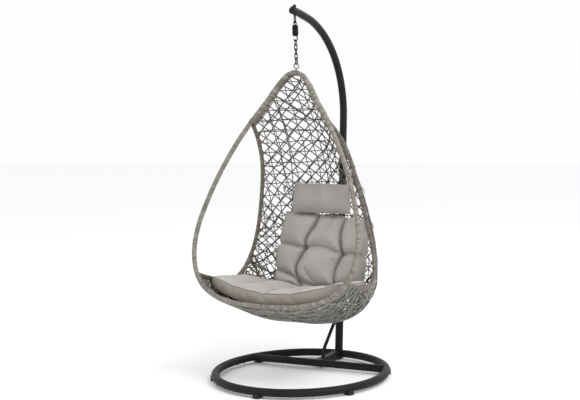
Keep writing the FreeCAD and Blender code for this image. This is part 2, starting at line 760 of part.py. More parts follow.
def main():
    os.makedirs("parts", exist_ok=True)

    # stand
    holes = bolt_holes()
    for name, rear in (("base_ring_front", False), ("base_ring_rear", True)):
        ring = base_ring(rear)
        for angle in (JOINT_ANGLE, 180.0 - JOINT_ANGLE):
            for side in (-3.0, 3.0):
                at = ring_point(angle + side)
                ring = ring.cut(Part.makeCylinder(3.1, 14.0, at))
        save(name, ring)
    sleeves = []
    for sleeve in joint_sleeves():
        for angle in (JOINT_ANGLE, 180.0 - JOINT_ANGLE):
            for side in (-3.0, 3.0):
                sleeve = sleeve.cut(Part.makeCylinder(3.0, 30.0, ring_point(angle + side)))
        sleeves.append(sleeve)
    save("base_joint_sleeves", group(sleeves))
    screws = [joint_screw(a + s) for a in (JOINT_ANGLE, 180.0 - JOINT_ANGLE) for s in (-3.0, 3.0)]
    save("base_joint_screws", group(screws))
    bars = bar_clearance()
    save("foot_glides", group([largest(foot_glide(a).cut(bars)) for a in GLIDE_ANGLES]))
    save("base_cross_bar", cross_bar())
    save("base_rear_bar", rear_bar())
    save("post_lower", post_lower().cut(holes))
    upper, arm_path = post_upper()
    bore = hang_cylinder(BORE_D + 0.1, HANG_TOP - 40, HANG_TOP + 40)
    save("post_upper_arm", upper.cut(holes).cut(bore))
    save("post_lap_bolts", group([lap_bolt(z) for z in LAP_BOLT_HEIGHTS]))
    save("post_lap_nuts", group([lap_nut(z) for z in LAP_BOLT_HEIGHTS]))
    save("post_brace", brace())
    cap = end_cap(arm_path)
    save("arm_end_cap", cap.cut(bore))
    save("arm_bushing", arm_bushing())

    # suspension
    save("eye_bolt", eye_bolt())
    save("eye_bolt_dome_nut", dome_nut())
    save("eye_bolt_washers", group([washer(HANG_TOP + 22.6)]))
    save("spring_top_hook", spring_top_hook())
    save("spring_coil", group(spring_coil()))
    save("spring_bottom_hook", spring_bottom_hook())
    for index in range(4):
        save("chain_link_%d" % (index + 1), chain_link(index))
    link, nut = quick_link_parts()
    save("quick_link", link)
    save("quick_link_sleeve", nut)

    # basket frame
    upper_wire, lower_wire, full = hoop_wires()
    core = both_sides(tube(full, HOOP_CORE, HOOP_CORE - 3.0))
    save("hoop_tube", core)
    rear_wire = upper_wire.translated(HOOP_BACK * REAR_TUBE_OFFSET)
    rear_tube = both_sides(tube(rear_wire, SIDE_CORE, SIDE_CORE - 3.0))
    save("hoop_rear_tube", rear_tube)
    wrap = sweep(upper_wire, racetrack(upper_wire, HOOP_WRAP, REAR_TUBE_OFFSET))
    wrap = wrap.cut(round_bar(upper_wire, HOOP_CORE)).cut(round_bar(rear_wire, SIDE_CORE))
    side_path = arc_wire()
    side_core = round_bar(side_path, SIDE_CORE)
    hoop_core_solid = round_bar(full, HOOP_CORE)
    ring = apex_ring(rear_wire)
    save("apex_ring", ring)
    save("hoop_wrap_upper", both_sides(wrap.cut(side_core)).cut(ring))
    save("hoop_wrap_lower", both_sides(tube(lower_wire, HOOP_WRAP, HOOP_CORE).cut(side_core)))
    side_tube = side_core.cut(round_bar(side_path, SIDE_CORE - 3.0))
    side_tube = largest(side_tube.cut(hoop_core_solid).cut(round_bar(rear_wire, SIDE_CORE)))
    upper_outer = sweep(upper_wire, racetrack(upper_wire, HOOP_WRAP, REAR_TUBE_OFFSET))
    side_wrap = round_bar(side_path, SIDE_WRAP).cut(side_core)
    side_wrap = largest(side_wrap.cut(upper_outer).cut(round_bar(lower_wire, HOOP_WRAP)))
    save("side_tube_left", mirrored(side_tube))
    save("side_tube_right", side_tube)
    save("side_wrap_left", mirrored(side_wrap))
    save("side_wrap_right", side_wrap)

    # weave and its ribs
    rows = weave_rows()
    surface = surface_through(rows)
    side = 1.0 if surface_points(surface, (0.5, 0.6), 2, 3, 1.0)[0][1].y > rows[12][10].y else -1.0
    names = ("weave_head", "weave_back", "weave_lumbar", "weave_seat")
    for name, low, high in zip(names, PANEL_ENDS[:-1], PANEL_ENDS[1:]):
        start = low if low == 0.0 else low + PANEL_GAP / 3000
        end = high if high == 1.0 else high - PANEL_GAP / 3000
        span = (start, end)
        outer_rows = surface_points(surface, span, 9, COLUMNS, side * WEAVE_THICKNESS / 2)
        inner_rows = surface_points(surface, span, 9, COLUMNS, -side * WEAVE_THICKNESS / 2)
        save(name, patch_solid(outer_rows, inner_rows))
    near_offset = side * (WEAVE_THICKNESS / 2 + RIB_WIRE / 2 + 3.2)
    far_offset = side * (WEAVE_THICKNESS / 2 + 1.5 * RIB_WIRE + 4.4)
    near = surface_points(surface, (0.0, 1.0), ROWS, COLUMNS, near_offset)
    far = surface_points(surface, (0.0, 1.0), ROWS, COLUMNS, far_offset)
    for name, i in zip(("cross_rib_head", "cross_rib_back", "cross_rib_seat"), RIB_ROWS):
        save(name, round_bar(smooth_path(near[i][::2]), RIB_WIRE))
    for name, j in zip(("long_rib_right", "long_rib_centre", "long_rib_left"), RIB_COLUMNS):
        save(name, round_bar(smooth_path([row[j] for row in far][::2]), RIB_WIRE))

    # cushions
    save("seat_cushion", seat_cushion())
    save("back_cushion", back_cushion())
    save("head_pillow", head_pillow())
    tie = pillow_tie()
    save("pillow_tie_right", tie)
    save("pillow_tie_left", mirrored(tie))


def largest(shape):
    return max(shape.Solids, key=lambda solid: solid.Volume)


def apex_ring(rear_wire):
    """Weld-on ring with its short stem, standing on the rear tube at the apex."""
    centre = Vector(0, HANG_Y, RING_TOP_Z - APEX_RING_RADIUS)
    ring = Part.makeTorus(APEX_RING_RADIUS, APEX_RING_WIRE / 2, centre, Y_AXIS)
    foot = APEX + HOOP_BACK * REAR_TUBE_OFFSET
    stem = straight_bar(foot, centre - Vector(0, 0, APEX_RING_RADIUS), 9.0)
    return ring.fuse(stem).cut(both_sides(round_bar(rear_wire, SIDE_CORE))).removeSplitter()


def rounded(solid, radius):
    return solid.makeFillet(radius, solid.Edges)


def seat_section(x, front, rear, rise, thick):
    """Rounded closed section of the seat cushion at one distance from the middle."""
    r = thick * 0.42
    c = math.sqrt(0.5)
    low, high = rise, rise + thick
    corners = (
        (front + r, low + r, -1, -1),
        (rear - r, low + r, 1, -1),
        (rear - r, high - r, 1, 1),
        (front + r, high - r, -1, 1),
    )
    ends = []
    for y, z, side, up in corners:
        across = Vector(x, y + side * r, z)
        along = Vector(x, y, z + up * r)
        middle = Vector(x, y + side * r * c, z + up * r * c)
        ends.append((across, middle, along) if side == up else (along, middle, across))
    edges = []
    for k, (first, middle, last) in enumerate(ends):
        edges.append(Part.Arc(first, middle, last).toShape())
        edges.append(Part.LineSegment(last, ends[(k + 1) % 4][0]).toShape())
    return Part.Wire(edges)


def seat_cushion():
    """Rounded pad, lowest in the middle, whose two ends bend up the sides of the bowl."""
    half = [seat_section(*row) for row in SEAT_SECTIONS]
    other = [seat_section(-row[0], *row[1:]) for row in reversed(SEAT_SECTIONS[1:])]
    block = Part.makeLoft(other + half, True, False)
    block.rotate(Vector(0, 0, 0), X_AXIS, -SEAT_TILT)
    block.translate(Vector(0, 0, SEAT_BOTTOM_Z))
    return block


def slab(outline, thickness, radius, centre, lean):
    """Upright padded slab: outline in x and z, leaning back by some degrees."""
    wire = Part.makePolygon([Vector(x, 0, z) for x, z in outline + outline[:1]])
    block = Part.Face(wire).extrude(Vector(0, thickness, 0))
    block.translate(Vector(0, -thickness / 2, 0))
    short = [e for e in block.Edges if abs(e.Length - thickness) < 0.01]
    block = block.makeFillet(radius * 1.15, short)
    rims = [e for e in block.Edges if abs(abs(e.CenterOfMass.y) - thickness / 2) < 0.01]
    block = block.makeFillet(radius, rims)
    block.rotate(Vector(0, 0, 0), X_AXIS, -lean)
    block.translate(Vector(*centre))
    return block


def back_cushion():
    half = BACK_HEIGHT / 2
    bottom = [(-BACK_BOTTOM_HALF, -half), (BACK_BOTTOM_HALF, -half)]
    top = [(BACK_TOP_HALF, half), (-BACK_TOP_HALF, half)]
    outline = bottom + top
    return slab(outline, BACK_THICK, BACK_THICK * 0.44, BACK_CENTRE, BACK_LEAN)


def head_pillow():
    w, h = PILLOW_WIDTH / 2, PILLOW_HEIGHT / 2
    outline = [(-w, -h), (w, -h), (w, h), (-w, h)]
    return slab(outline, PILLOW_THICK, PILLOW_THICK * 0.42, PILLOW_CENTRE, PILLOW_LEAN)


main()
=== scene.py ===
"""Looks of the hanging egg chair: camera, light, materials and the woven and padded pieces. Metres."""

import math
import random

import bpy
import numpy as np
from mathutils import Matrix, Vector


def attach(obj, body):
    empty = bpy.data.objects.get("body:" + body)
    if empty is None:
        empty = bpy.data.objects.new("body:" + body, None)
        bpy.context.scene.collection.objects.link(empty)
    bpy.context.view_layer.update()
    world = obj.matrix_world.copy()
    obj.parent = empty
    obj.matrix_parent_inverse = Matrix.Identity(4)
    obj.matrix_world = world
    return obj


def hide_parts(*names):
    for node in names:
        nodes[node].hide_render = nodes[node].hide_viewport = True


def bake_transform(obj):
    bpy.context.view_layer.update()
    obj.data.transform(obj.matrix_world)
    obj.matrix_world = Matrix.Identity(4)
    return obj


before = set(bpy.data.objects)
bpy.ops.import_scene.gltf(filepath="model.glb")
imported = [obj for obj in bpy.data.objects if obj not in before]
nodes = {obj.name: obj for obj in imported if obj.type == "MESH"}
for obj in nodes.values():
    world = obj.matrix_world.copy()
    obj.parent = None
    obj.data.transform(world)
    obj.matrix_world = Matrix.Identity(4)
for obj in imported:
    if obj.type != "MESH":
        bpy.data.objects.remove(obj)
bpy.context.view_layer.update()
scene = bpy.context.scene

# ---------------- dimensions shared with the CAD part

BASE_Y = -0.064                # middle of the base ring; the basket hangs over y = 0
APEX = np.array([0.0, -0.022, 1.611])
LEAN = math.radians(18.2)
HOOP_DOWN = np.array([0.0, -math.sin(LEAN), -math.cos(LEAN)])
HOOP_BACK = np.array([0.0, math.cos(LEAN), -math.sin(LEAN)])
# Half of the hoop in its own plane, in millimetres: distance down from the apex, then half width.
HOOP_HALF = (
    (0, 0), (13, 38), (62, 84), (140, 135), (272, 228), (350, 278), (450, 332), (560, 383),
    (690, 430), (810, 463), (925, 474), (1010, 463), (1085, 434), (1145, 386), (1190, 312),
    (1218, 215), (1230, 105), (1233, 0),
)
HOOP_JUNCTION = 4
HOOP_LOWER_JUNCTION = 12
HOOP_WRAP_RADIUS = 0.013
REAR_TUBE_OFFSET = 0.019
SIDE_WRAP_RADIUS = 0.0115
# Left side arc: x, y and z in millimetres.
ARC_SIDE = (
    (227, -88, 1347), (252, 18, 1238), (267, 69, 1138), (285, 96, 1033), (304, 109, 928),
    (324, 116, 823), (344, 117, 737), (369, 101, 640), (388, 60, 566), (399, -6, 518),
    (408, -124, 510), (416, -239, 538), (434, -361, 580),
)
# Middle of the weave, from the apex down the back and forward under the seat: y and z in millimetres.
BACK_LINE = (
    (-12.5, 1608), (143, 1400), (256, 1190), (332, 990), (368, 800), (372, 640), (338, 480),
    (248, 360), (116, 300), (-34, 300), (-174, 340), (-294, 388), (-404, 426),
)
# How squarely the weave fills out between the side arc and its middle; higher is squarer.
BACK_FULLNESS = 8.0
SEAT_FULLNESS = 2.3
SPRING_TOP = 1.853
SPRING_BOTTOM = 1.8008
SPRING_OUTER = 0.033
SPRING_WIRE = 0.0046
SPRING_TURNS = 11.0

TINY = 1e-12                   # keeps a division by zero away
CURVE_STEPS = 24


# ---------------- camera, floor and light

CAMERA_DISTANCE = 6.4152
CAMERA_HEIGHT = 1.59095
CAMERA_SIDE = math.radians(28.6875)
CAMERA_YAW = math.radians(0.23174)
CAMERA_PITCH = math.radians(5.73038)
CAMERA_ROLL = math.radians(-1.92313)
CAMERA_LENS = 76.425


def place_camera():
    turn = CAMERA_SIDE + CAMERA_YAW
    across = CAMERA_DISTANCE * math.sin(CAMERA_SIDE)
    away = CAMERA_DISTANCE * math.cos(CAMERA_SIDE)
    at = Vector((across, BASE_Y - away, CAMERA_HEIGHT))
    ahead = Vector((
        -math.sin(turn) * math.cos(CAMERA_PITCH),
        math.cos(turn) * math.cos(CAMERA_PITCH),
        -math.sin(CAMERA_PITCH),
    ))
    level = Vector((math.cos(turn), math.sin(turn), 0.0))
    upright = level.cross(ahead)
    right = level * math.cos(CAMERA_ROLL) + upright * math.sin(CAMERA_ROLL)
    up = upright * math.cos(CAMERA_ROLL) - level * math.sin(CAMERA_ROLL)
    data = bpy.data.cameras.new("camera")
    data.sensor_width = 36.0
    data.lens = CAMERA_LENS
    data.clip_end = 100.0
    camera = bpy.data.objects.new("camera", data)
    camera.matrix_world = Matrix((
        (right.x, up.x, -ahead.x, at.x),
        (right.y, up.y, -ahead.y, at.y),
        (right.z, up.z, -ahead.z, at.z),
        (0.0, 0.0, 0.0, 1.0),
    ))
    scene.collection.objects.link(camera)
    scene.camera = camera


def soft_light(name, at, aim, size, power, colour=(1.0, 1.0, 1.0)):
    data = bpy.data.lights.new(name, "AREA")
    data.shape = "DISK"
    data.size = size
    data.energy = power
    data.color = colour
    lamp = bpy.data.objects.new(name, data)
    lamp.location = at
    lamp.rotation_euler = (Vector(aim) - Vector(at)).to_track_quat("-Z", "Y").to_euler()
    scene.collection.objects.link(lamp)


def studio():
    scene.view_settings.view_transform = "Standard"
    world = bpy.data.worlds.new("studio")
    world.use_nodes = True
    sky = world.node_tree.nodes["Background"]
    sky.inputs["Color"].default_value = (0.985, 0.99, 1.0, 1.0)
    sky.inputs["Strength"].default_value = 1.0
    scene.world = world
    soft_light("key", (3.8, -1.6, 4.4), (0.0, 0.0, 0.9), 2.4, 150.0, (1.0, 0.985, 0.955))
    soft_light("fill", (-3.6, -3.8, 2.4), (0.0, 0.0, 0.8), 3.2, 10.0)
    soft_light("rim", (1.2, 4.2, 3.4), (0.0, 0.2, 1.0), 2.4, 30.0)
    floor = grid_object("floor", [[(-14, -14, 0), (14, -14, 0)], [(-14, 14, 0), (14, 14, 0)]])
    floor.data.materials.append(plain("floor_paint", (0.96, 0.96, 0.96), 0.8))


# ---------------- meshes

def mesh_object(name, points, faces):
    mesh = bpy.data.meshes.new(name)
    mesh.from_pydata([tuple(float(c) for c in p) for p in points], [], faces)
    mesh.polygons.foreach_set("use_smooth", [True] * len(mesh.polygons))
    mesh.update()
    made = bpy.data.objects.new(name, mesh)
    scene.collection.objects.link(made)
    return made


def grid_object(name, rows):
    points = [p for row in rows for p in row]
    width = len(rows[0])
    faces = []
    for i in range(len(rows) - 1):
        for j in range(width - 1):
            a = i * width + j
            faces.append((a, a + 1, a + width + 1, a + width))
    return mesh_object(name, points, faces)


class Build:
    """Collects points, faces and face tones of several tubes into one mesh."""

    def __init__(self):
        self.points = []
        self.faces = []
        self.tones = []

    def rings(self, rings, tones, closed=False):
        """Rings of equal length joined one to the next; tones gives a material index for each stretch."""
        start = len(self.points)
        sides = len(rings[0])
        count = len(rings)
        for ring in rings:
            self.points.extend(ring)
        last = count if closed else count - 1
        for i in range(last):
            a = start + i * sides
            b = start + ((i + 1) % count) * sides
            for j in range(sides):
                k = (j + 1) % sides
                self.faces.append((a + j, a + k, b + k, b + j))
                self.tones.append(tones[i])
        if not closed:
            self.faces.append(tuple(start + j for j in reversed(range(sides))))
            self.tones.append(tones[0])
            self.faces.append(tuple(start + (count - 1) * sides + j for j in range(sides)))
            self.tones.append(tones[-1])

    def tube(self, line, radius, sides, tone=0, flatten=1.0, closed=False):
        """Tube along a line of points; flatten below 1 squeezes its section to an oval."""
        line = np.asarray(line, float)
        along = directions(line, closed)
        normals = carried_normals(along)
        rings = []
        angle = np.arange(sides) * 2 * math.pi / sides
        for i, at in enumerate(line):
            n = normals[i] - along[i] * normals[i].dot(along[i])
            n = n / (np.linalg.norm(n) + TINY)
            b = np.cross(along[i], n)
            ring = at + radius * (np.outer(np.cos(angle), n) * flatten + np.outer(np.sin(angle), b))
            rings.append(ring)
        self.rings(rings, [tone] * len(line), closed)

    def made(self, name, materials):
        made = mesh_object(name, self.points, self.faces)
        for m in materials:
            made.data.materials.append(m)
        if len(materials) > 1:
            made.data.polygons.foreach_set("material_index", self.tones)
        made.data.update()
        return made


def directions(line, closed=False):
    if closed:
        step = np.roll(line, -1, 0) - np.roll(line, 1, 0)
    else:
        step = np.gradient(line, axis=0)
    return step / (np.linalg.norm(step, axis=1)[:, None] + TINY)


def carried_normals(along):
    """Normals carried along a curve without twisting."""
    first = np.array([0.0, 0.0, 1.0]) if abs(along[0][2]) < 0.9 else np.array([1.0, 0.0, 0.0])
    n = first - along[0] * first.dot(along[0])
    n /= np.linalg.norm(n)
    out = [n]
    for i in range(1, len(along)):
        n = n - along[i] * n.dot(along[i])
        n = n / (np.linalg.norm(n) + TINY)
        out.append(n)
    return np.array(out)


# ---------------- smooth curves

def curve_tangents(points):
    p = np.asarray(points, float)
    t = np.zeros_like(p)
    for i in range(1, len(p) - 1):
        a = p[i] - p[i - 1]
        b = p[i + 1] - p[i]
        la = np.linalg.norm(a)
        lb = np.linalg.norm(b)
        d = a * lb / la + b * la / lb
        t[i] = d / np.linalg.norm(d)
    first = p[1] - p[0]
    first /= np.linalg.norm(first)
    t[0] = first * 2 * first.dot(t[1]) - t[1]
    last = p[-1] - p[-2]
    last /= np.linalg.norm(last)
    t[-1] = last * 2 * last.dot(t[-2]) - t[-2]
    return t


def smooth_line(points, spacing=None, count=None, start=None, end=None):
    """Evenly spaced points on a smooth curve through the given ones."""
    p = np.asarray(points, float)
    t = curve_tangents(p)
    if start is not None:
        t[0] = start
    if end is not None:
        t[-1] = end
    dense = []
    for i in range(len(p) - 1):
        reach = np.linalg.norm(p[i + 1] - p[i])
        for s in np.linspace(0, 1, CURVE_STEPS, endpoint=False):
            h00 = 2 * s ** 3 - 3 * s ** 2 + 1
            h10 = s ** 3 - 2 * s ** 2 + s
            h01 = -2 * s ** 3 + 3 * s ** 2
            h11 = s ** 3 - s ** 2
            dense.append(h00 * p[i] + h10 * reach * t[i] + h01 * p[i + 1] + h11 * reach * t[i + 1])
    dense.append(p[-1])
    return evenly(np.array(dense), spacing, count)


def distances(line):
    """Length along a line of points up to each one of them."""
    return np.concatenate([[0], np.cumsum(np.linalg.norm(np.diff(line, axis=0), axis=1))])


def point_at(where, places, points):
    """The point at one place, interpolated between points whose places increase."""
    return np.array([np.interp(where, places, points[:, k]) for k in range(3)])


def evenly(line, spacing=None, count=None):
    lengths = distances(line)
    if count is None:
        count = max(2, int(round(lengths[-1] / spacing)) + 1)
    at = np.linspace(0, lengths[-1], count)
    return np.stack([np.interp(at, lengths, line[:, k]) for k in range(3)], 1)


def mirrored(line):
    out = np.array(line, float)
    out[:, 0] *= -1
    return out


def hoop_points(first, last):
    """Points of the hoop's half at positive x, from one index of its table to another."""
    return np.array([APEX + HOOP_DOWN * s / 1000 + np.array([w / 1000, 0, 0])
                     for s, w in HOOP_HALF[first:last + 1]])


def hoop_half(spacing=0.002):
    return smooth_line(hoop_points(0, len(HOOP_HALF) - 1), spacing=spacing,
                       start=np.array([1.0, 0, 0]), end=np.array([-1.0, 0, 0]))


def split_at(line, point):
    i = int(np.argmin(np.linalg.norm(line - point, axis=1)))
    return line[:i + 1], line[i:]


HALF = hoop_half()
UPPER_HALF, LOWER_HALF = split_at(HALF, hoop_points(HOOP_JUNCTION, HOOP_JUNCTION)[0])
BOTTOM_HALF = split_at(HALF, hoop_points(HOOP_LOWER_JUNCTION, HOOP_LOWER_JUNCTION)[0])[1]
SIDE_ARC = smooth_line(np.array(ARC_SIDE) / 1000, spacing=0.002)


# ---------------- materials

WHITE = (1.0, 1.0, 1.0)


def plain(name, colour, rough, metal=0.0):
    m = bpy.data.materials.new(name)
    m.use_nodes = True
    shader = m.node_tree.nodes["Principled BSDF"]
    shader.inputs["Base Color"].default_value = (*colour, 1.0)
    shader.inputs["Roughness"].default_value = rough
    shader.inputs["Metallic"].default_value = metal
    return m


def node(m, kind, **values):
    made = m.node_tree.nodes.new(kind)
    for key, value in values.items():
        if key in made.inputs:
            made.inputs[key].default_value = value
        else:
            setattr(made, key, value)
    return made


def link(m, a, b):
    m.node_tree.links.new(a, b)


def object_coordinates(m):
    return node(m, "ShaderNodeTexCoord").outputs["Object"]


def noise(m, scale, detail=3.0, stretch=None, rough=0.55):
    texture = node(m, "ShaderNodeTexNoise", Scale=scale, Detail=detail, Roughness=rough)
    place = object_coordinates(m)
    if stretch:
        mapping = node(m, "ShaderNodeMapping")
        mapping.inputs["Scale"].default_value = stretch
        link(m, place, mapping.inputs["Vector"])
        place = mapping.outputs["Vector"]
    link(m, place, texture.inputs["Vector"])
    return texture.outputs["Fac"]


def threads_along(m, direction):
    """Fine bands, one for each thread of a cloth."""
    wave = node(m, "ShaderNodeTexWave", Scale=118.0, Distortion=0.4)
    wave.wave_type = "BANDS"
    wave.bands_direction = direction
    link(m, object_coordinates(m), wave.inputs["Vector"])
    return wave.outputs["Fac"]


def ramp(m, source, stops):
    r = node(m, "ShaderNodeValToRGB")
    elements = r.color_ramp.elements
    while len(elements) < len(stops):
        elements.new(0.5)
    for element, (position, colour) in zip(elements, stops):
        element.position = position
        element.color = (*colour, 1.0)
    link(m, source, r.inputs["Fac"])
    return r.outputs["Color"]


def multiplied(m, a, b):
    """Product of two colours."""
    mix = node(m, "ShaderNodeMix", data_type="RGBA", blend_type="MULTIPLY")
    mix.inputs[0].default_value = 1.0
    link(m, a, mix.inputs[6])
    link(m, b, mix.inputs[7])
    return mix.outputs[2]


def combine(m, operation, a, b):
    """Sum or product of two values, each a socket or a number."""
    made = node(m, "ShaderNodeMath", operation=operation)
    for i, source in enumerate((a, b)):
        if isinstance(source, float):
            made.inputs[i].default_value = source
        else:
            link(m, source, made.inputs[i])
    return made.outputs[0]


def bump(m, height, strength, distance):
    b = node(m, "ShaderNodeBump", Strength=strength, Distance=distance)
    link(m, height, b.inputs["Height"])
    link(m, b.outputs["Normal"], m.node_tree.nodes["Principled BSDF"].inputs["Normal"])


def base_colour(m, colour):
    link(m, colour, m.node_tree.nodes["Principled BSDF"].inputs["Base Color"])


def roughness(m, source, low, high):
    spread = node(m, "ShaderNodeMapRange")
    spread.inputs["To Min"].default_value = low
    spread.inputs["To Max"].default_value = high
    link(m, source, spread.inputs["Value"])
    link(m, spread.outputs["Result"], m.node_tree.nodes["Principled BSDF"].inputs["Roughness"])


def powder_coat(name, dark, light):
    m = plain(name, dark, 0.5)
    m.node_tree.nodes["Principled BSDF"].inputs["Specular IOR Level"].default_value = 0.16
    fine = noise(m, 900.0, 2.0)
    base_colour(m, ramp(m, noise(m, 6.0, 4.0), [(0.35, dark), (0.7, light)]))
    roughness(m, fine, 0.38, 0.62)
    bump(m, fine, 0.25, 0.0006)
    return m


def rattan(name, dark, light):
    m = plain(name, dark, 0.5)
    grain = noise(m, 260.0, 4.0, (1.0, 1.0, 1.0), 0.6)
    patches = noise(m, 40.0, 3.0)
    tint = ramp(m, patches, [(0.3, dark), (0.72, light)])
    streaks = ramp(m, grain, [(0.35, (0.72, 0.72, 0.72)), (0.75, WHITE)])
    base_colour(m, multiplied(m, tint, streaks))
    roughness(m, grain, 0.4, 0.65)
    bump(m, grain, 0.3, 0.0008)
    return m


def crease_shade(m, colour, reach):
    """Painted shade: darkens a colour where the surface folds in on itself, read from ambient occlusion."""
    fold = node(m, "ShaderNodeAmbientOcclusion", Distance=reach)
    fold.samples = 8
    shade = ramp(m, fold.outputs["AO"], [(0.35, (0.42, 0.40, 0.38)), (0.85, WHITE)])
    return multiplied(m, colour, shade)


def fabric(name, dark, light, first, second):
    """Plain-woven cloth: two sets of threads crossing along the given directions."""
    m = plain(name, dark, 0.9)
    shader = m.node_tree.nodes["Principled BSDF"]
    shader.inputs["Sheen Weight"].default_value = 0.25
    shader.inputs["Sheen Roughness"].default_value = 0.5
    warp = threads_along(m, first)
    weft = threads_along(m, second)
    threads = combine(m, "MULTIPLY", warp, weft)
    slub = noise(m, 420.0, 3.0, (1.0, 0.35, 1.0))
    tint = ramp(m, noise(m, 9.0, 5.0), [(0.3, dark), (0.72, light)])
    relief = combine(m, "ADD", combine(m, "MULTIPLY", threads, 0.5), combine(m, "MULTIPLY", slub, 0.5))
    shade = ramp(m, relief, [(0.15, (0.78, 0.77, 0.76)), (0.6, WHITE)])
    # painted shade in the cloth's folds, through crease_shade
    base_colour(m, crease_shade(m, multiplied(m, tint, shade), 0.045))
    bump(m, combine(m, "ADD", threads, combine(m, "MULTIPLY", slub, 0.6)), 0.35, 0.0007)
    return m


def galvanised(name):
    m = plain(name, (0.22, 0.22, 0.22), 0.5, 0.5)
    flakes = node(m, "ShaderNodeTexVoronoi", Scale=260.0)
    link(m, object_coordinates(m), flakes.inputs["Vector"])
    spots = flakes.outputs["Distance"]
    base_colour(m, ramp(m, spots, [(0.1, (0.15, 0.153, 0.155)), (0.7, (0.29, 0.293, 0.295))]))
    roughness(m, spots, 0.3, 0.55)
    return m


# ---------------- wound strips

WRAP_SIDES = 20
STRIP_STATIONS = (0.04, 0.25, 0.5, 0.75, 0.96)
STRIP_SLANT = 0.35
RAISED_SHARE = 0.35            # share of the turns that may stand up higher than the rest


def wound_section(width, depth):
    """Section of a wrap in (across, back) coordinates: a circle, or two half circles joined by flats."""
    out = []
    for i in range(WRAP_SIDES):
        angle = 2 * math.pi * i / WRAP_SIDES
        c = math.cos(angle)
        s = math.sin(angle)
        out.append((width * c, width * s + (depth if s > 0.001 else 0.0)))
    return np.array(out)


def wrapped(build, line, radius, depth, normal, pitch, ridge, seed, tones, wild):
    """Flat strip wound round a tube in close turns; each turn gets its own tone, width and height."""
    rng = random.Random(seed)
    line = np.asarray(line, float)
    along = directions(line)
    lengths = distances(line)
    edges = [0.0]
    while edges[-1] < lengths[-1]:
        edges.append(edges[-1] + pitch * rng.uniform(0.78, 1.25))
    heights = [rng.uniform(0.3, 1.0) * ridge + rng.uniform(0.0, wild) * (rng.random() < RAISED_SHARE)
               for _ in edges]
    turn_tones = [rng.choice(tones) for _ in edges]
    section = wound_section(radius - ridge, depth)
    outward = wound_section(1.0, 0.0)
    slant = STRIP_SLANT * pitch
    rings = []
    ring_tones = []
    for i in range(len(edges) - 1):
        for f in STRIP_STATIONS:
            s = edges[i] + f * (edges[i + 1] - edges[i])
            if s >= lengths[-1]:
                continue
            at = point_at(s, lengths, line)
            t = point_at(s, lengths, along)
            t /= np.linalg.norm(t)
            back = normal - t * normal.dot(t)
            back /= np.linalg.norm(back)
            across = np.cross(back, t)
            lift = heights[i] * (1.0 - (2 * f - 1) ** 4)
            rings.append([at + across * (a + oa * lift) + back * (b + ob * lift) + t * (slant * oa)
                          for (a, b), (oa, ob) in zip(section, outward)])
            ring_tones.append(turn_tones[i])
    build.rings(rings, ring_tones)


# ---------------- weave

def ease(t):
    t = min(max(t, 0.0), 1.0)
    return t * t * (3 - 2 * t)


FAN_Y = -0.164                 # the cross planes of the weave fan out from this line under the seat
FAN_Z = 0.76
LEVEL_STEP = 0.012
WEAVE_ROWS = 181
WEAVE_COLUMNS = 81
BACK_ROWS = 90                 # rows of the weave's middle that all run downwards
ROW_REACH = 0.004              # how far a strand may run past the end of a row
RIB_RADIUS = 0.003
RIB_LIFT = 0.0085
RIB_END_ROWS = 5
RIB_END_COLUMNS = 2
RIB_CROSS_SHARES = (0.22, 0.43, 0.63)
BOWL_STRANDS = 330


def weave_columns(rows, half):
    """Grid of the weave at positive x; column 0 is the side arc, the last is the middle."""
    upper = evenly(UPPER_HALF, count=half)
    bottom = evenly(BOTTOM_HALF, count=half)
    arc = evenly(SIDE_ARC, count=rows)
    arc[0] = upper[-1]
    arc[-1] = bottom[0]
    middle = smooth_line([(0, y / 1000, z / 1000) for y, z in BACK_LINE], count=rows)
    middle[-1] = bottom[-1]
    grid = np.zeros((rows, half, 3))
    for i in range(rows):
        v = i / (rows - 1)
        power = BACK_FULLNESS + (SEAT_FULLNESS - BACK_FULLNESS) * ease((v - 0.45) / 0.35)
        side = arc[i] - (arc[0] * (1 - v) + arc[-1] * v)
        mid = middle[i] - (middle[0] * (1 - v) + middle[-1] * v)
        for j in range(half):
            u = j / (half - 1)
            full = 1 - (1 - u) ** power
            grid[i, j] = upper[half - 1 - j] * (1 - v) + bottom[j] * v + side * (1 - full) + mid * full
    return grid


def level_of(y, z, reach):
    """How far round the basket a point is, before it is turned into a length."""
    return np.where(z > FAN_Z, FAN_Z - z, reach * np.arctan2(FAN_Z - z, y - FAN_Y))


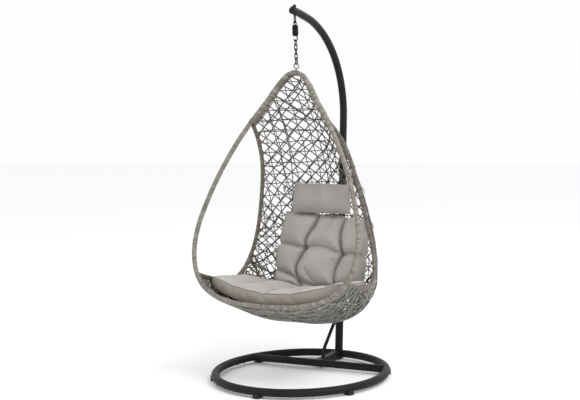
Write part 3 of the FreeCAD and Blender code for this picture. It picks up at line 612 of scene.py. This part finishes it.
class Basket:
    """The weave in flat coordinates: h runs down the back and forward under the seat, a across."""

    def __init__(self):
        grid = weave_columns(WEAVE_ROWS, WEAVE_COLUMNS)
        self.grid = grid
        middle = grid[:, -1]
        reach = np.interp(-FAN_Z, -middle[:BACK_ROWS, 2], middle[:BACK_ROWS, 1]) - FAN_Y
        level = level_of(grid[:, :, 1], grid[:, :, 2], reach)
        length = distances(middle)
        creep = np.arange(WEAVE_ROWS) * 1e-7      # keeps equal neighbours in order
        centre = np.maximum.accumulate(level[:, -1] + creep)
        slope = np.interp(level, centre, length)
        beyond = np.maximum(level - centre[-1], 0.0)
        heights = slope + beyond
        self.total = float(heights.max())
        self.rows = []
        before = None
        for h in np.arange(0.0, self.total, LEVEL_STEP):
            points = []
            columns = []
            for j in reversed(range(WEAVE_COLUMNS)):
                column = np.maximum.accumulate(heights[:, j] + creep)
                if h < column[0] or h > column[-1]:
                    continue
                points.append(point_at(h, column, grid[:, j]))
                columns.append(WEAVE_COLUMNS - 1 - j)
            if len(points) < 2:
                self.rows.append(None)
                continue
            points = np.array(points)
            a = distances(points)
            if columns[0] > 0 and before is not None:
                a = a + np.interp(columns[0], before[0], before[1])
            before = (columns, a)
            self.rows.append((a, points))

    def place(self, h, a):
        """Point of the surface at flat coordinates, or None beyond its edge."""
        k = int(h / LEVEL_STEP)
        if h < 0 or k >= len(self.rows) - 1:
            return None
        found = []
        reach = abs(a)
        between = h / LEVEL_STEP - k
        for row, share in ((self.rows[k], 1 - between), (self.rows[k + 1], between)):
            if row is None:
                return None
            if reach > row[0][-1] + ROW_REACH or reach < row[0][0] - ROW_REACH:
                return None
            found.append((share, point_at(reach, *row)))
        p = found[0][1] * found[0][0] + found[1][1] * found[1][0]
        if a < 0:
            p[0] = -p[0]
        return p


def outward_of(p):
    """Direction away from the basket's upright middle line."""
    centre = np.array([0.0, -0.014, min(max(p[2], 0.68), 1.25)])
    d = p - centre
    return d / (np.linalg.norm(d) + 1e-9)


DIAGONAL_STRAND = 0.0032
CROSS_STRAND = 0.0024
BOWL_STRAND = 0.0029
DIAGONAL_GAP = 0.0455
CROSS_GAP = 0.0643
STRAND_STEP = 0.008
STRAND_SPACING = 0.011
STRAND_SIDES = 6
STRAND_TURN = 6.28             # about one full turn of a strand's sideways wave
OVER_UNDER = 0.0021            # how far a strand rises and dips at a crossing


def strand(build, basket, start, heading, length, wobble, rng, radius, over, tone):
    """One strand laid along a nearly straight line of the flat coordinates."""
    phase = rng.uniform(0, STRAND_TURN)
    wave = rng.uniform(0.18, 0.42)
    sway = rng.uniform(0.3, 1.0) * wobble
    h0, a0 = start
    dh, da = heading
    run = []
    runs = []
    for i in range(int(length / STRAND_STEP)):
        s = i * STRAND_STEP
        shift = sway * math.sin(phase + s * STRAND_TURN / wave)
        h = h0 + dh * s - da * shift
        a = a0 + da * s + dh * shift
        p = basket.place(h, a)
        if p is None:
            if len(run) > 3:
                runs.append(run)
            run = []
        else:
            run.append(p + outward_of(p) * over(h, a))
    if len(run) > 3:
        runs.append(run)
    for run in runs:
        line = np.array(run)
        for _ in range(2):
            inner = (line[:-2] + line[2:]) / 4 + line[1:-1] / 2
            line = np.vstack([line[:1], inner, line[-1:]])
        build.tube(evenly(line, spacing=STRAND_SPACING), radius, STRAND_SIDES, tone)


def weave(build, basket):
    """Two crossing families of diagonal strands, then one down and one across."""
    rng = random.Random(11)
    total = basket.total

    def family(direction, gap, base_lift, twin, offset, radius, tones):
        """Parallel strands; direction is the angle from straight down, towards positive a."""
        dh = math.cos(direction)
        da = math.sin(direction)
        span = total + 1.2                     # long enough to cross the surface at any angle
        lines = int(2 * span / gap)
        for i in range(-lines, lines + 1):
            parity = 1 if i % 2 else -1
            shift = i * gap + offset + rng.uniform(-0.0035, 0.0035)
            angle = rng.uniform(-0.013, 0.013)
            dh2 = dh * math.cos(angle) - da * math.sin(angle)
            da2 = da * math.cos(angle) + dh * math.sin(angle)
            origin_h = total / 2 - da * shift - dh2 * span
            origin_a = dh * shift - da2 * span

            def over(h, a, parity=parity, base_lift=base_lift):
                return base_lift + parity * OVER_UNDER * math.cos(math.pi * (dh * h - da * a) / gap)

            strand(build, basket, (origin_h, origin_a), (dh2, da2), 2 * span, 0.0035, rng, radius,
                   over, rng.choice(tones))
            if rng.random() < twin:
                away = rng.choice((-1, 1)) * rng.uniform(0.0045, 0.0075)
                strand(build, basket, (origin_h - da * away, origin_a + dh * away), (dh2, da2), 2 * span,
                       0.006, rng, radius * 0.9, over, rng.choice(tones))

    # Tone 0 is the strand darkened as painted shade; the diagonal families take it two times in three.
    family(math.radians(45), DIAGONAL_GAP, -0.0005, 0.25, 0.0, DIAGONAL_STRAND, (0, 0, 1))
    family(math.radians(-45), DIAGONAL_GAP, -0.0005, 0.25, 0.0, DIAGONAL_STRAND, (0, 0, 1))
    family(math.radians(0), CROSS_GAP, 0.0022, 0.2, CROSS_GAP / 2, CROSS_STRAND, (0, 1, 1))
    family(math.radians(90), CROSS_GAP, 0.0022, 0.2, 0.0, CROSS_STRAND, (0, 1, 1))


def seat_filling(build, basket):
    """Closer weave round the bowl, laid in layers outside the first; its outer strands are painted lighter,
    painted light for the lit outside of the bowl.
    """
    rng = random.Random(23)
    total = basket.total
    for i in range(BOWL_STRANDS):
        low = rng.random() < 0.85
        h = total * (rng.uniform(0.67, 1.0) if low else rng.uniform(0.58, 0.70))
        a = rng.uniform(-0.60, 0.60)
        angle = rng.choice((0.30, -0.30, 1.25, -1.25, 0.8, -0.8, 1.55)) + rng.uniform(-0.15, 0.15)
        length = rng.uniform(0.25, 0.55)
        offset = rng.uniform(0.001, 0.010)
        start = (h - math.cos(angle) * length / 2, a - math.sin(angle) * length / 2)

        def over(h, a, offset=offset):
            return offset * ease((h / total - 0.50) / 0.18)

        # painted light: strands standing out from the bowl take the pale tone
        tone = 2 if offset > 0.004 else rng.choice((0, 1, 2))
        strand(build, basket, start, (math.cos(angle), math.sin(angle)), length, 0.012, rng, BOWL_STRAND,
               over, tone)


def rib_rods(basket):
    """Welded rods behind the weave: three down the back and under the seat, three across."""
    build = Build()
    grid = basket.grid
    count = len(grid)
    sides = []
    for row in grid[RIB_END_ROWS:count - RIB_END_ROWS]:
        far = distances(row)
        sides.append(point_at(far[-1] / 2, far, row))
    sides = np.array(sides)
    long_lines = [sides, mirrored(sides), grid[RIB_END_ROWS:count - RIB_END_ROWS, -1]]
    cross_lines = []
    for share in RIB_CROSS_SHARES:
        half = grid[int(share * count), RIB_END_COLUMNS:]
        cross_lines.append(np.vstack([half, mirrored(half[:-1])[::-1]]))
    for line in long_lines + cross_lines:
        line = evenly(np.array([p + outward_of(p) * RIB_LIFT for p in line]), spacing=0.014)
        build.tube(line, RIB_RADIUS, 8)
    return build


# ---------------- padded pieces

def line_distance(x, y, line):
    """Distance from a point to a chain of straight runs."""
    best = 9.0
    for (ax, ay), (bx, by) in zip(line[:-1], line[1:]):
        dx = bx - ax
        dy = by - ay
        f = min(max(((x - ax) * dx + (y - ay) * dy) / (dx * dx + dy * dy), 0.0), 1.0)
        best = min(best, math.hypot(x - ax - f * dx, y - ay - f * dy))
    return best


def rounded_line(line):
    """The same chain with its corners rounded off."""
    for _ in range(3):
        out = [line[0]]
        for (ax, ay), (bx, by) in zip(line[:-1], line[1:]):
            out.append((0.75 * ax + 0.25 * bx, 0.75 * ay + 0.25 * by))
            out.append((0.25 * ax + 0.75 * bx, 0.25 * ay + 0.75 * by))
        out.append(line[-1])
        line = out
    return line


CLOTH_FRAMES = 20


def puff(made, pins, pressure, cap, grow):
    """Cloth simulation that swells a closed mesh, then keeps the result as plain geometry."""
    mesh = made.data
    rest = np.zeros(len(mesh.vertices) * 3)
    mesh.vertices.foreach_get("co", rest)
    rest = rest.reshape(-1, 3)
    held = made.vertex_groups.new(name="held")
    for i, weight in enumerate(pins):
        if weight > 0:
            held.add([i], float(weight), "REPLACE")
    cloth = made.modifiers.new("cloth", "CLOTH")
    settings = cloth.settings
    settings.quality = 6
    settings.mass = 0.3
    settings.tension_stiffness = 20.0
    settings.compression_stiffness = 12.0
    settings.shear_stiffness = 6.0
    settings.bending_stiffness = 0.6
    settings.use_pressure = True
    settings.uniform_pressure_force = pressure
    settings.vertex_group_mass = "held"
    settings.shrink_min = -grow
    settings.effector_weights.gravity = 0.0
    cloth.point_cache.frame_start = 1
    cloth.point_cache.frame_end = CLOTH_FRAMES
    for f in range(1, CLOTH_FRAMES + 1):
        scene.frame_set(f)
    seen = made.evaluated_get(bpy.context.evaluated_depsgraph_get())
    moved = np.zeros(len(mesh.vertices) * 3)
    seen.data.vertices.foreach_get("co", moved)
    moved = moved.reshape(-1, 3)
    made.modifiers.remove(cloth)
    step = moved - rest
    size = np.linalg.norm(step, axis=1)[:, None]
    step = step * np.minimum(1.0, cap / np.maximum(size, 1e-9))
    mesh.vertices.foreach_set("co", (rest + step).ravel())
    mesh.update()
    made.vertex_groups.clear()
    scene.frame_set(1)


def finer(made):
    smooth = made.modifiers.new("smooth", "SUBSURF")
    smooth.levels = 1
    smooth.render_levels = 1


def turned(points, centre, lean):
    """Local (x, forward-back, up) points leaned back by an angle about x and moved to a centre."""
    c = math.cos(lean)
    s = math.sin(lean)
    out = np.array(points, float)
    y = out[:, 1] * c + out[:, 2] * s
    z = -out[:, 1] * s + out[:, 2] * c
    return np.stack([out[:, 0], y, z], 1) + np.asarray(centre)


def closer_at_ends(k, count):
    """From -1 to 1 in equal counts, the steps a little shorter towards both ends."""
    return -math.cos(math.pi * k / count) * 0.25 + (2 * k / count - 1) * 0.75


def slab_cushion(name, half_bottom, half_top, height, thick, centre, lean, front, columns, rows, corner,
                 drawn=None, roll=0.0, firm=4.5, round_off=0.45):
    """Upright cushion on a grid; front(s, t) returns the front face's share of the full half thickness."""
    def outline(s, t):
        x = s * math.sqrt(max(0.0, 1 - corner * t * t / 2))
        z = t * math.sqrt(max(0.0, 1 - corner * s * s / 2))
        half = half_bottom + (half_top - half_bottom) * (z + 1) / 2
        pull = 1 - 0.055 * drawn(s, t) if drawn else 1.0
        return x * half * pull, z * height / 2 * pull

    points = []
    index = {}
    pins = []
    faces = []
    for side in (-1, 1):
        for i in range(rows + 1):
            for j in range(columns + 1):
                edge = i in (0, rows) or j in (0, columns)
                if edge and side == 1:
                    index[(side, i, j)] = index[(-1, i, j)]
                    continue
                s = closer_at_ends(j, columns)
                t = closer_at_ends(i, rows)
                x, z = outline(s, t)
                body = ((1 - abs(s) ** firm) * (1 - abs(t) ** firm)) ** round_off if not edge else 0.0
                share = front(s, t) if side == -1 else 0.90
                index[(side, i, j)] = len(points)
                points.append((x, side * body * share * thick / 2, z))
                if edge:
                    pins.append(0.8)
                else:
                    pins.append(min(0.9, max(0.0, 0.95 - share)) if side == -1 else 0.15)
    for side in (-1, 1):
        for i in range(rows):
            for j in range(columns):
                quad = [index[(side, i, j)], index[(side, i, j + 1)],
                        index[(side, i + 1, j + 1)], index[(side, i + 1, j)]]
                if side == 1:
                    quad.reverse()
                faces.append(tuple(quad))
    local = np.array(points)
    c = math.cos(roll)
    s = math.sin(roll)
    local = np.stack([local[:, 0] * c - local[:, 2] * s, local[:, 1], local[:, 0] * s + local[:, 2] * c], 1)
    return mesh_object(name, turned(local, centre, lean), faces), pins


TUFTS = ((-0.34, 0.05), (0.50, 0.01), (-0.37, -0.80), (0.42, -0.84))
BACK_ASPECT = 0.72             # the back cushion's height over its width, for round distances
# Creases of the back cushion: depth share, width, and the points of each, both ways from -1 to 1.
BACK_CREASE_POINTS = (
    (0.85, 0.034, ((-0.14, 1.02), (-0.18, 0.72), (-0.31, 0.45), (-0.37, 0.25), (-0.34, 0.05))),
    (0.80, 0.034, ((-0.34, 0.05), (-0.42, -0.20), (-0.50, -0.45), (-0.46, -0.66), (-0.37, -0.80),
                   (-0.34, -1.02))),
    (0.80, 0.034, ((0.52, 1.02), (0.44, 0.80), (0.41, 0.45), (0.44, 0.22), (0.50, 0.01))),
    (0.78, 0.034, ((0.50, 0.01), (0.43, -0.22), (0.37, -0.45), (0.38, -0.68), (0.42, -0.84),
                   (0.42, -1.02))),
    (0.66, 0.038, ((-1.02, 0.10), (-0.80, 0.13), (-0.58, 0.10), (-0.34, 0.05))),
    (0.48, 0.045, ((-0.34, 0.05), (-0.18, 0.12), (0.04, 0.14), (0.30, 0.07), (0.50, 0.01))),
    (0.58, 0.042, ((0.50, 0.01), (0.68, 0.06), (0.85, 0.05), (1.02, 0.02))),
    (0.66, 0.038, ((-1.02, -0.60), (-0.80, -0.62), (-0.58, -0.67), (-0.37, -0.80))),
    (0.60, 0.045, ((-0.37, -0.80), (-0.20, -0.85), (0.02, -0.88), (0.22, -0.88), (0.42, -0.84))),
    (0.60, 0.042, ((0.42, -0.84), (0.60, -0.78), (0.80, -0.76), (1.02, -0.78))),
    (0.42, 0.024, ((0.20, 1.02), (0.19, 0.86), (0.18, 0.66))),
    (0.34, 0.036, ((0.33, -0.18), (0.31, -0.38), (0.34, -0.62))),
    (0.34, 0.040, ((-0.26, -0.50), (-0.17, -0.66), (-0.02, -0.80))),
    (0.10, 0.050, ((0.02, 0.62), (-0.08, 0.40), (-0.20, 0.22))),
)
BACK_CREASES = tuple((depth, width, rounded_line(line)) for depth, width, line in BACK_CREASE_POINTS)
DEEP_CREASE = 0.45             # creases deeper than this make the cloth swell beside them


def biscuit(s, t):
    """Front of the back cushion: squares that swell between deep creases, drawn in at the tufts."""
    dent = 0.0
    nearest = 9.0
    for depth, width, line in BACK_CREASES:
        d = line_distance(s, t * BACK_ASPECT, [(a, b * BACK_ASPECT) for a, b in line])
        dent = max(dent, depth * math.exp(-(d / width) ** 0.9))
        if depth > DEEP_CREASE:
            nearest = min(nearest, d)
    for a, b in TUFTS:
        r = math.hypot((s - a) / 0.075, (t - b) / 0.10)
        dent += 0.35 * math.exp(-r * r)
    swell = 0.34 * (1 - math.exp(-(nearest / 0.15) ** 1.2))
    return max(0.84 + swell - dent, -0.20)


def edge_pull(s, t):
    """How far the rim is drawn in where a crease runs over it."""
    pull = 0.0
    for depth, _, line in BACK_CREASES:
        for a, b in (line[0], line[-1]):
            if abs(a) > 1.0 or abs(b) > 1.0:
                pull = max(pull, depth * math.exp(-((s - a) ** 2 + (t - b) ** 2) / 0.010))
    return pull


def on_basket(made, slot, *replaced):
    """Makes a piece ride on the basket, in the place of the CAD nodes named."""
    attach(made, "basket")
    if replaced:
        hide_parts(*replaced)


def back_cushion(cloth):
    made, pins = slab_cushion(
        "back_cushion_soft", half_bottom=0.283, half_top=0.265, height=0.430, thick=0.082,
        centre=(0, 0.222, 0.628), lean=math.radians(13), front=biscuit, columns=104, rows=78,
        corner=0.16, drawn=edge_pull, roll=math.radians(-4.0))
    puff(made, pins, pressure=3.0, cap=0.013, grow=0.015)
    finer(made)
    made.data.materials.append(cloth)
    on_basket(made, "cushion_fabric", "back_cushion")


def head_pillow(cloth):
    made, pins = slab_cushion(
        "head_pillow_soft", half_bottom=0.182, half_top=0.170, height=0.164, thick=0.074,
        centre=(0, 0.236, 0.924), lean=math.radians(4.5), front=lambda s, t: 1.0, columns=60, rows=30,
        corner=0.10, roll=math.radians(-1.0), firm=2.6, round_off=0.60)
    puff(made, pins, pressure=2.5, cap=0.010, grow=0.01)
    finer(made)
    made.data.materials.append(cloth)
    on_basket(made, "pillow_fabric", "head_pillow")


# Half of the seat cushion in plan, middle of the front edge to middle of the rear, in millimetres.
SEAT_OUTLINE = (
    (0, -292), (110, -292), (205, -290), (285, -281), (344, -268), (384, -246), (396, -205), (392, -85),
    (380, 22), (362, 60), (332, 100), (280, 142), (205, 180), (110, 194), (0, 196),
)
SEAT_MIDDLE = np.array([0.0, -0.05, 0.0])
# Rings of the top, as shares of the way from the middle to the outline.
SEAT_RINGS = (
    0.05, 0.11, 0.17, 0.23, 0.29, 0.35, 0.41, 0.47, 0.53, 0.59, 0.65, 0.71, 0.77, 0.83, 0.88, 0.93, 0.97, 1.0,
)
# Rings of the side band between its two seams: share of the thickness, and how far each is set in.
SEAT_SIDE_RINGS = ((0.86, 0.002), (0.72, 0.0), (0.56, 0.0), (0.40, 0.001), (0.26, 0.004))
SEAT_AROUND = 220
SEAT_MIDDLE_HEIGHT = 0.076
# Thickness of the pad at distances from its middle line.
SEAT_THICK_AT = (0.0, 0.205, 0.280, 0.332, 0.362, 0.388)
SEAT_THICKS = (0.078, 0.078, 0.077, 0.073, 0.066, 0.054)
WELT_RADIUS = 0.0019
WELT_PROUD = 0.0008
SEAT_LOW = 0.392
SEAT_LEAN = math.radians(6.5)
# Sewn lines of the seat: depth, width and the points of each crease in plan.
SEAT_CREASES = (
    (0.017, 0.016, ((-0.245, -0.30), (-0.235, -0.18), (-0.245, -0.05), (-0.26, 0.10))),
    (0.024, 0.014, ((-0.055, -0.30), (-0.068, -0.18), (-0.075, -0.07), (-0.055, 0.06), (-0.06, 0.20))),
    (0.022, 0.014, ((0.110, -0.30), (0.098, -0.17), (0.105, -0.07), (0.12, 0.07), (0.11, 0.20))),
    (0.013, 0.016, ((0.285, -0.29), (0.27, -0.16), (0.28, -0.04), (0.27, 0.10))),
    (0.018, 0.015, ((-0.34, -0.09), (-0.20, -0.05), (-0.075, -0.07), (0.02, -0.045), (0.105, -0.07),
                    (0.22, -0.05), (0.35, -0.08))),
    (0.008, 0.008, ((0.03, -0.30), (0.022, -0.25), (0.03, -0.20))),
    (0.008, 0.008, ((-0.15, -0.30), (-0.16, -0.25), (-0.15, -0.21))),
)
SEAT_TUFTS = ((-0.075, -0.07), (0.105, -0.07))


def seat_rise(x):
    """The pad's ends bend up the sides of the bowl."""
    return 0.070 * (abs(x) / 0.35) ** 2


def seat_thickness(x):
    return float(np.interp(abs(x), SEAT_THICK_AT, SEAT_THICKS))


def seat_dent(x, y, creases):
    """Depth of the creases and tufts at a point of the top, and how far the cloth swells there."""
    dent = 0.0
    nearest = 9.0
    for depth, width, line in creases:
        d = line_distance(x, y, line)
        dent += depth * math.exp(-d / width)
        if depth > 0.012:
            nearest = min(nearest, d)
    for a, b in SEAT_TUFTS:
        dent += 0.018 * math.exp(-((x - a) ** 2 + (y - b) ** 2) / 0.022 ** 2)
    crown = 0.012 * (1 - math.exp(-nearest / 0.04))
    return dent, crown


def seat_outline():
    half = smooth_line([(x / 1000, y / 1000, 0) for x, y in SEAT_OUTLINE], spacing=0.004,
                       start=np.array([1.0, 0, 0]), end=np.array([-1.0, 0, 0]))
    loop = np.vstack([half, mirrored(half[1:-1])[::-1], half[:1]])
    return evenly(loop, count=SEAT_AROUND + 1)[:-1]


def seat_cushion(cloth, side_cloth_painted_shade):
    count = SEAT_AROUND
    outline = seat_outline()
    radial = outline - SEAT_MIDDLE
    outward = radial / np.linalg.norm(radial, axis=1)[:, None]
    creases = [(depth, width, rounded_line(line)) for depth, width, line in SEAT_CREASES]
    points = []
    weights = []
    kinds = []

    def ring(share, part, inset, pin, kind):
        """One ring of points, at a share of the outline and a part of the thickness."""
        creased = part > 0.5
        fade = 1.0 if kind == "top" else 0.55
        rim = 1.0 if share < 1.0 else 0.35
        for r, o in zip(radial, outward):
            flat = SEAT_MIDDLE + r * share - o * inset
            thick = seat_thickness(flat[0])
            dent, crown = seat_dent(flat[0], flat[1], creases) if creased else (0.0, 0.0)
            z = part * thick + (crown * (1 - share ** 6) - dent * fade * rim if creased else 0.0)
            pull = o * dent * (0.30 if share == 1.0 else 0.0)
            points.append((flat[0] - pull[0], flat[1] - pull[1], z + seat_rise(flat[0])))
            weights.append(min(1.0, pin + (dent / 0.024 if creased else 0.0)))
        kinds.append(kind)

    points.append(tuple(SEAT_MIDDLE + np.array([0, 0, SEAT_MIDDLE_HEIGHT])))
    weights.append(0.0)
    for f in SEAT_RINGS:
        ring(f, 0.94 + 0.08 * (1 - f ** 3.5), 0.009 if f < 1 else 0.006, 0.0 if f < 1 else 0.8, "top")
    for part, inset in SEAT_SIDE_RINGS:
        ring(1.0, part, inset, 0.0, "side")
    ring(1.0, 0.14, 0.009, 0.8, "side")
    for f in reversed(SEAT_RINGS[:-1]):
        ring(f, 0.06 - 0.04 * (1 - f ** 2), 0.011, 0.3, "under")
    points.append((SEAT_MIDDLE[0], SEAT_MIDDLE[1], 0.002))
    weights.append(0.3)
    faces = []
    skins = []
    total = len(kinds)
    for j in range(count):
        k = (j + 1) % count
        faces.append((0, 1 + j, 1 + k))
        skins.append(0)
        for i in range(total - 1):
            a = 1 + i * count
            faces.append((a + j, a + count + j, a + count + k, a + k))
            skins.append(1 if kinds[i + 1] == "side" else 0)
        last = 1 + (total - 1) * count
        faces.append((last + j, len(points) - 1, last + k))
        skins.append(0)
    placed = turned(points, (0, BASE_Y, SEAT_LOW), SEAT_LEAN)
    made = mesh_object("seat_cushion_soft", placed, faces)
    puff(made, weights, pressure=2.4, cap=0.010, grow=0.012)
    welt = Build()
    upper_seam = len(SEAT_RINGS) - 1
    lower_seam = upper_seam + len(SEAT_SIDE_RINGS) + 1
    for ring_number in (upper_seam, lower_seam):
        start = 1 + ring_number * count
        seam = np.array([made.data.vertices[start + j].co for j in range(count)])
        away = seam - seam.mean(0)
        away[:, 2] = 0
        seam = seam + away / np.linalg.norm(away, axis=1)[:, None] * WELT_PROUD
        welt.tube(seam, WELT_RADIUS, 8, closed=True)
    finer(made)
    made.data.materials.append(cloth)
    # Material 1, the darker side cloth, is painted shade on the side band; the welts take it too.
    made.data.materials.append(side_cloth_painted_shade)
    made.data.polygons.foreach_set("material_index", skins)
    on_basket(made, "cushion_fabric", "seat_cushion")
    on_basket(welt.made("seat_cushion_welt", [side_cloth_painted_shade]), "cushion_fabric")


TAPE_WIDTH = 0.009
TAPE_FLATNESS = 0.28
KNOT = (0.232, 0.252, 0.985)
KNOT_STEPS = 24


def pillow_tie(cloth, side):
    """Flat fabric tape from the pillow round the weave, its knot behind and two loose ends."""
    build = Build()
    name = "left" if side > 0 else "right"

    def tape(points):
        line = smooth_line(np.array(points) * np.array([side, 1, 1]), spacing=0.004)
        build.tube(line, TAPE_WIDTH / 2, 8, flatten=TAPE_FLATNESS)

    tape([(0.170, 0.236, 0.975), (0.190, 0.2345, 0.984), (0.206, 0.236, 0.985), (0.222, 0.245, 0.986), KNOT])
    tape([KNOT, (0.239, 0.262, 0.975), (0.246, 0.267, 0.955)])
    tape([KNOT, (0.243, 0.260, 0.983), (0.252, 0.263, 0.972)])
    middle = np.array([KNOT[0] * side, KNOT[1], KNOT[2]])
    loop = []
    for i in range(KNOT_STEPS + 1):
        share = i / KNOT_STEPS
        angle = share * 4 * math.pi
        aside = [0.004 * math.cos(angle), 0.004 * math.sin(angle), 0.006 * (share - 0.5)]
        loop.append(middle + np.array(aside))
    build.tube(loop, 0.0035, 8)
    made = build.made("pillow_tie_" + name + "_tape", [cloth])
    on_basket(made, "pillow_fabric", "pillow_tie_" + name)


# ---------------- spring

def spring(metal):
    """Coil whose first and last turns close in a little."""
    build = Build()
    mean = (SPRING_OUTER - SPRING_WIRE) / 2
    line = []
    steps = int(SPRING_TURNS * 28)
    for i in range(steps + 1):
        f = i / steps
        flat = min(f * SPRING_TURNS, (1 - f) * SPRING_TURNS, 1.0)
        z = SPRING_TOP - SPRING_WIRE / 2 - (SPRING_TOP - SPRING_BOTTOM - SPRING_WIRE) * f
        angle = 2 * math.pi * SPRING_TURNS * f
        reach = mean - 0.0006 * (1 - flat)
        line.append((reach * math.cos(angle), reach * math.sin(angle), z))
    build.tube(line, SPRING_WIRE / 2 * 0.98, 10)
    made = build.made("spring_coil_wire", [metal])
    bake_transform(made)
    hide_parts("spring_coil")


# ---------------- assembly

def repaint(names, m):
    for name in names:
        made = nodes[name]
        made.data.materials.clear()
        made.data.materials.append(m)


def paint_steel():
    """Paints the CAD nodes that stay as they are; returns the two paints that other pieces share."""
    charcoal = powder_coat("charcoal_powder_coat", (0.0075, 0.0075, 0.008), (0.013, 0.013, 0.014))
    black = powder_coat("black_coated_steel", (0.005, 0.005, 0.0055), (0.010, 0.010, 0.0105))
    rib_paint = powder_coat("rib_paint", (0.15, 0.143, 0.13), (0.22, 0.212, 0.195))
    glide = powder_coat("moulded_plastic", (0.012, 0.012, 0.012), (0.02, 0.02, 0.02))
    zinc = galvanised("galvanised_ring")
    repaint([n for n in nodes if n.startswith(("base_", "post_"))] + ["arm_bushing"], charcoal)
    repaint([n for n in nodes if n.startswith(("eye_bolt", "spring_", "chain_", "quick_"))]
            + ["base_joint_screws", "post_lap_bolts", "post_lap_nuts"], black)
    repaint(["foot_glides", "arm_end_cap"], glide)
    repaint(["apex_ring"], zinc)
    repaint(["hoop_tube", "hoop_rear_tube", "side_tube_left", "side_tube_right"], charcoal)
    return black, rib_paint


def wraps_and_weave(rib_paint):
    """Strips wound round hoop and side arcs, the woven strands and the rods behind them."""
    wraps = [
        rattan("wrap_light", (0.205, 0.190, 0.160), (0.33, 0.31, 0.27)),
        rattan("wrap_mid", (0.17, 0.156, 0.130), (0.27, 0.252, 0.217)),
        rattan("wrap_dark", (0.125, 0.113, 0.092), (0.20, 0.184, 0.155)),
        rattan("wrap_olive", (0.145, 0.136, 0.100), (0.24, 0.228, 0.175)),
    ]
    side_wraps = [
        rattan("side_wrap_light", (0.125, 0.110, 0.086), (0.20, 0.178, 0.143)),
        rattan("side_wrap_mid", (0.10, 0.087, 0.067), (0.165, 0.145, 0.114)),
        rattan("side_wrap_dark", (0.075, 0.064, 0.049), (0.125, 0.108, 0.084)),
    ]
    # The strands are one rattan: the first tone is darkened, painted shade for the shaded inside of the
    # weave, and the third is lightened, painted light for the lit outside of the bowl.
    strands = [
        rattan("strand_brown_painted_shade", (0.062, 0.052, 0.040), (0.115, 0.098, 0.078)),
        rattan("strand_grey", (0.090, 0.080, 0.066), (0.155, 0.140, 0.118)),
        rattan("strand_pale_painted_lit", (0.20, 0.197, 0.183), (0.34, 0.336, 0.318)),
    ]

    upper = np.vstack([mirrored(UPPER_HALF)[::-1], UPPER_HALF[1:]])
    build = Build()
    wrapped(build, upper, HOOP_WRAP_RADIUS, REAR_TUBE_OFFSET, HOOP_BACK, pitch=0.011, ridge=0.0017, seed=3,
            tones=(0, 0, 1, 2, 2, 3), wild=0.0018)
    on_basket(build.made("hoop_upper_strips", wraps), "rattan_wrap", "hoop_wrap_upper")

    lower = np.vstack([LOWER_HALF, mirrored(LOWER_HALF)[::-1][1:]])
    build = Build()
    wrapped(build, lower, HOOP_WRAP_RADIUS, 0.0, HOOP_BACK, pitch=0.0085, ridge=0.0012, seed=5,
            tones=(0, 0, 1, 1, 2, 3), wild=0.0004)
    on_basket(build.made("hoop_lower_strips", wraps), "rattan_wrap", "hoop_wrap_lower")

    for name, line in (("left", SIDE_ARC), ("right", mirrored(SIDE_ARC))):
        build = Build()
        wrapped(build, line, SIDE_WRAP_RADIUS, 0.0, np.array([1.0, 0, 0]), pitch=0.0085, ridge=0.0009,
                seed=7, tones=(0, 1, 1, 2), wild=0.0004)
        on_basket(build.made("side_" + name + "_strips", side_wraps), "rattan_wrap", "side_wrap_" + name)

    basket = Basket()
    build = Build()
    weave(build, basket)
    seat_filling(build, basket)
    on_basket(build.made("weave_strands", strands), "rattan_weave",
              "weave_head", "weave_back", "weave_lumbar", "weave_seat")
    on_basket(rib_rods(basket).made("weave_rib_rods", [rib_paint]), "rib_steel",
              "long_rib_left", "long_rib_centre", "long_rib_right",
              "cross_rib_head", "cross_rib_back", "cross_rib_seat")


def soft_goods():
    """The two cushions, the head pillow and its ties."""
    seat_cloth = fabric("seat_cloth", (0.40, 0.382, 0.36), (0.475, 0.455, 0.432), "X", "Y")
    # The side band's cloth is a darker, browner copy of the seat cloth: painted shade for the band's front
    # face under the top light.
    side_cloth_painted_shade = fabric("seat_side_cloth", (0.275, 0.243, 0.214), (0.335, 0.30, 0.266), "X", "Z")
    back_cloth = fabric("back_cloth", (0.40, 0.380, 0.355), (0.475, 0.453, 0.428), "X", "Z")
    pillow_cloth = fabric("pillow_cloth", (0.35, 0.328, 0.312), (0.42, 0.396, 0.378), "X", "Z")
    seat_cushion(seat_cloth, side_cloth_painted_shade)
    back_cushion(back_cloth)
    head_pillow(pillow_cloth)
    for side in (1, -1):
        pillow_tie(pillow_cloth, side)


def main():
    place_camera()
    studio()
    black, rib_paint = paint_steel()
    wraps_and_weave(rib_paint)
    soft_goods()
    spring(black)


main()
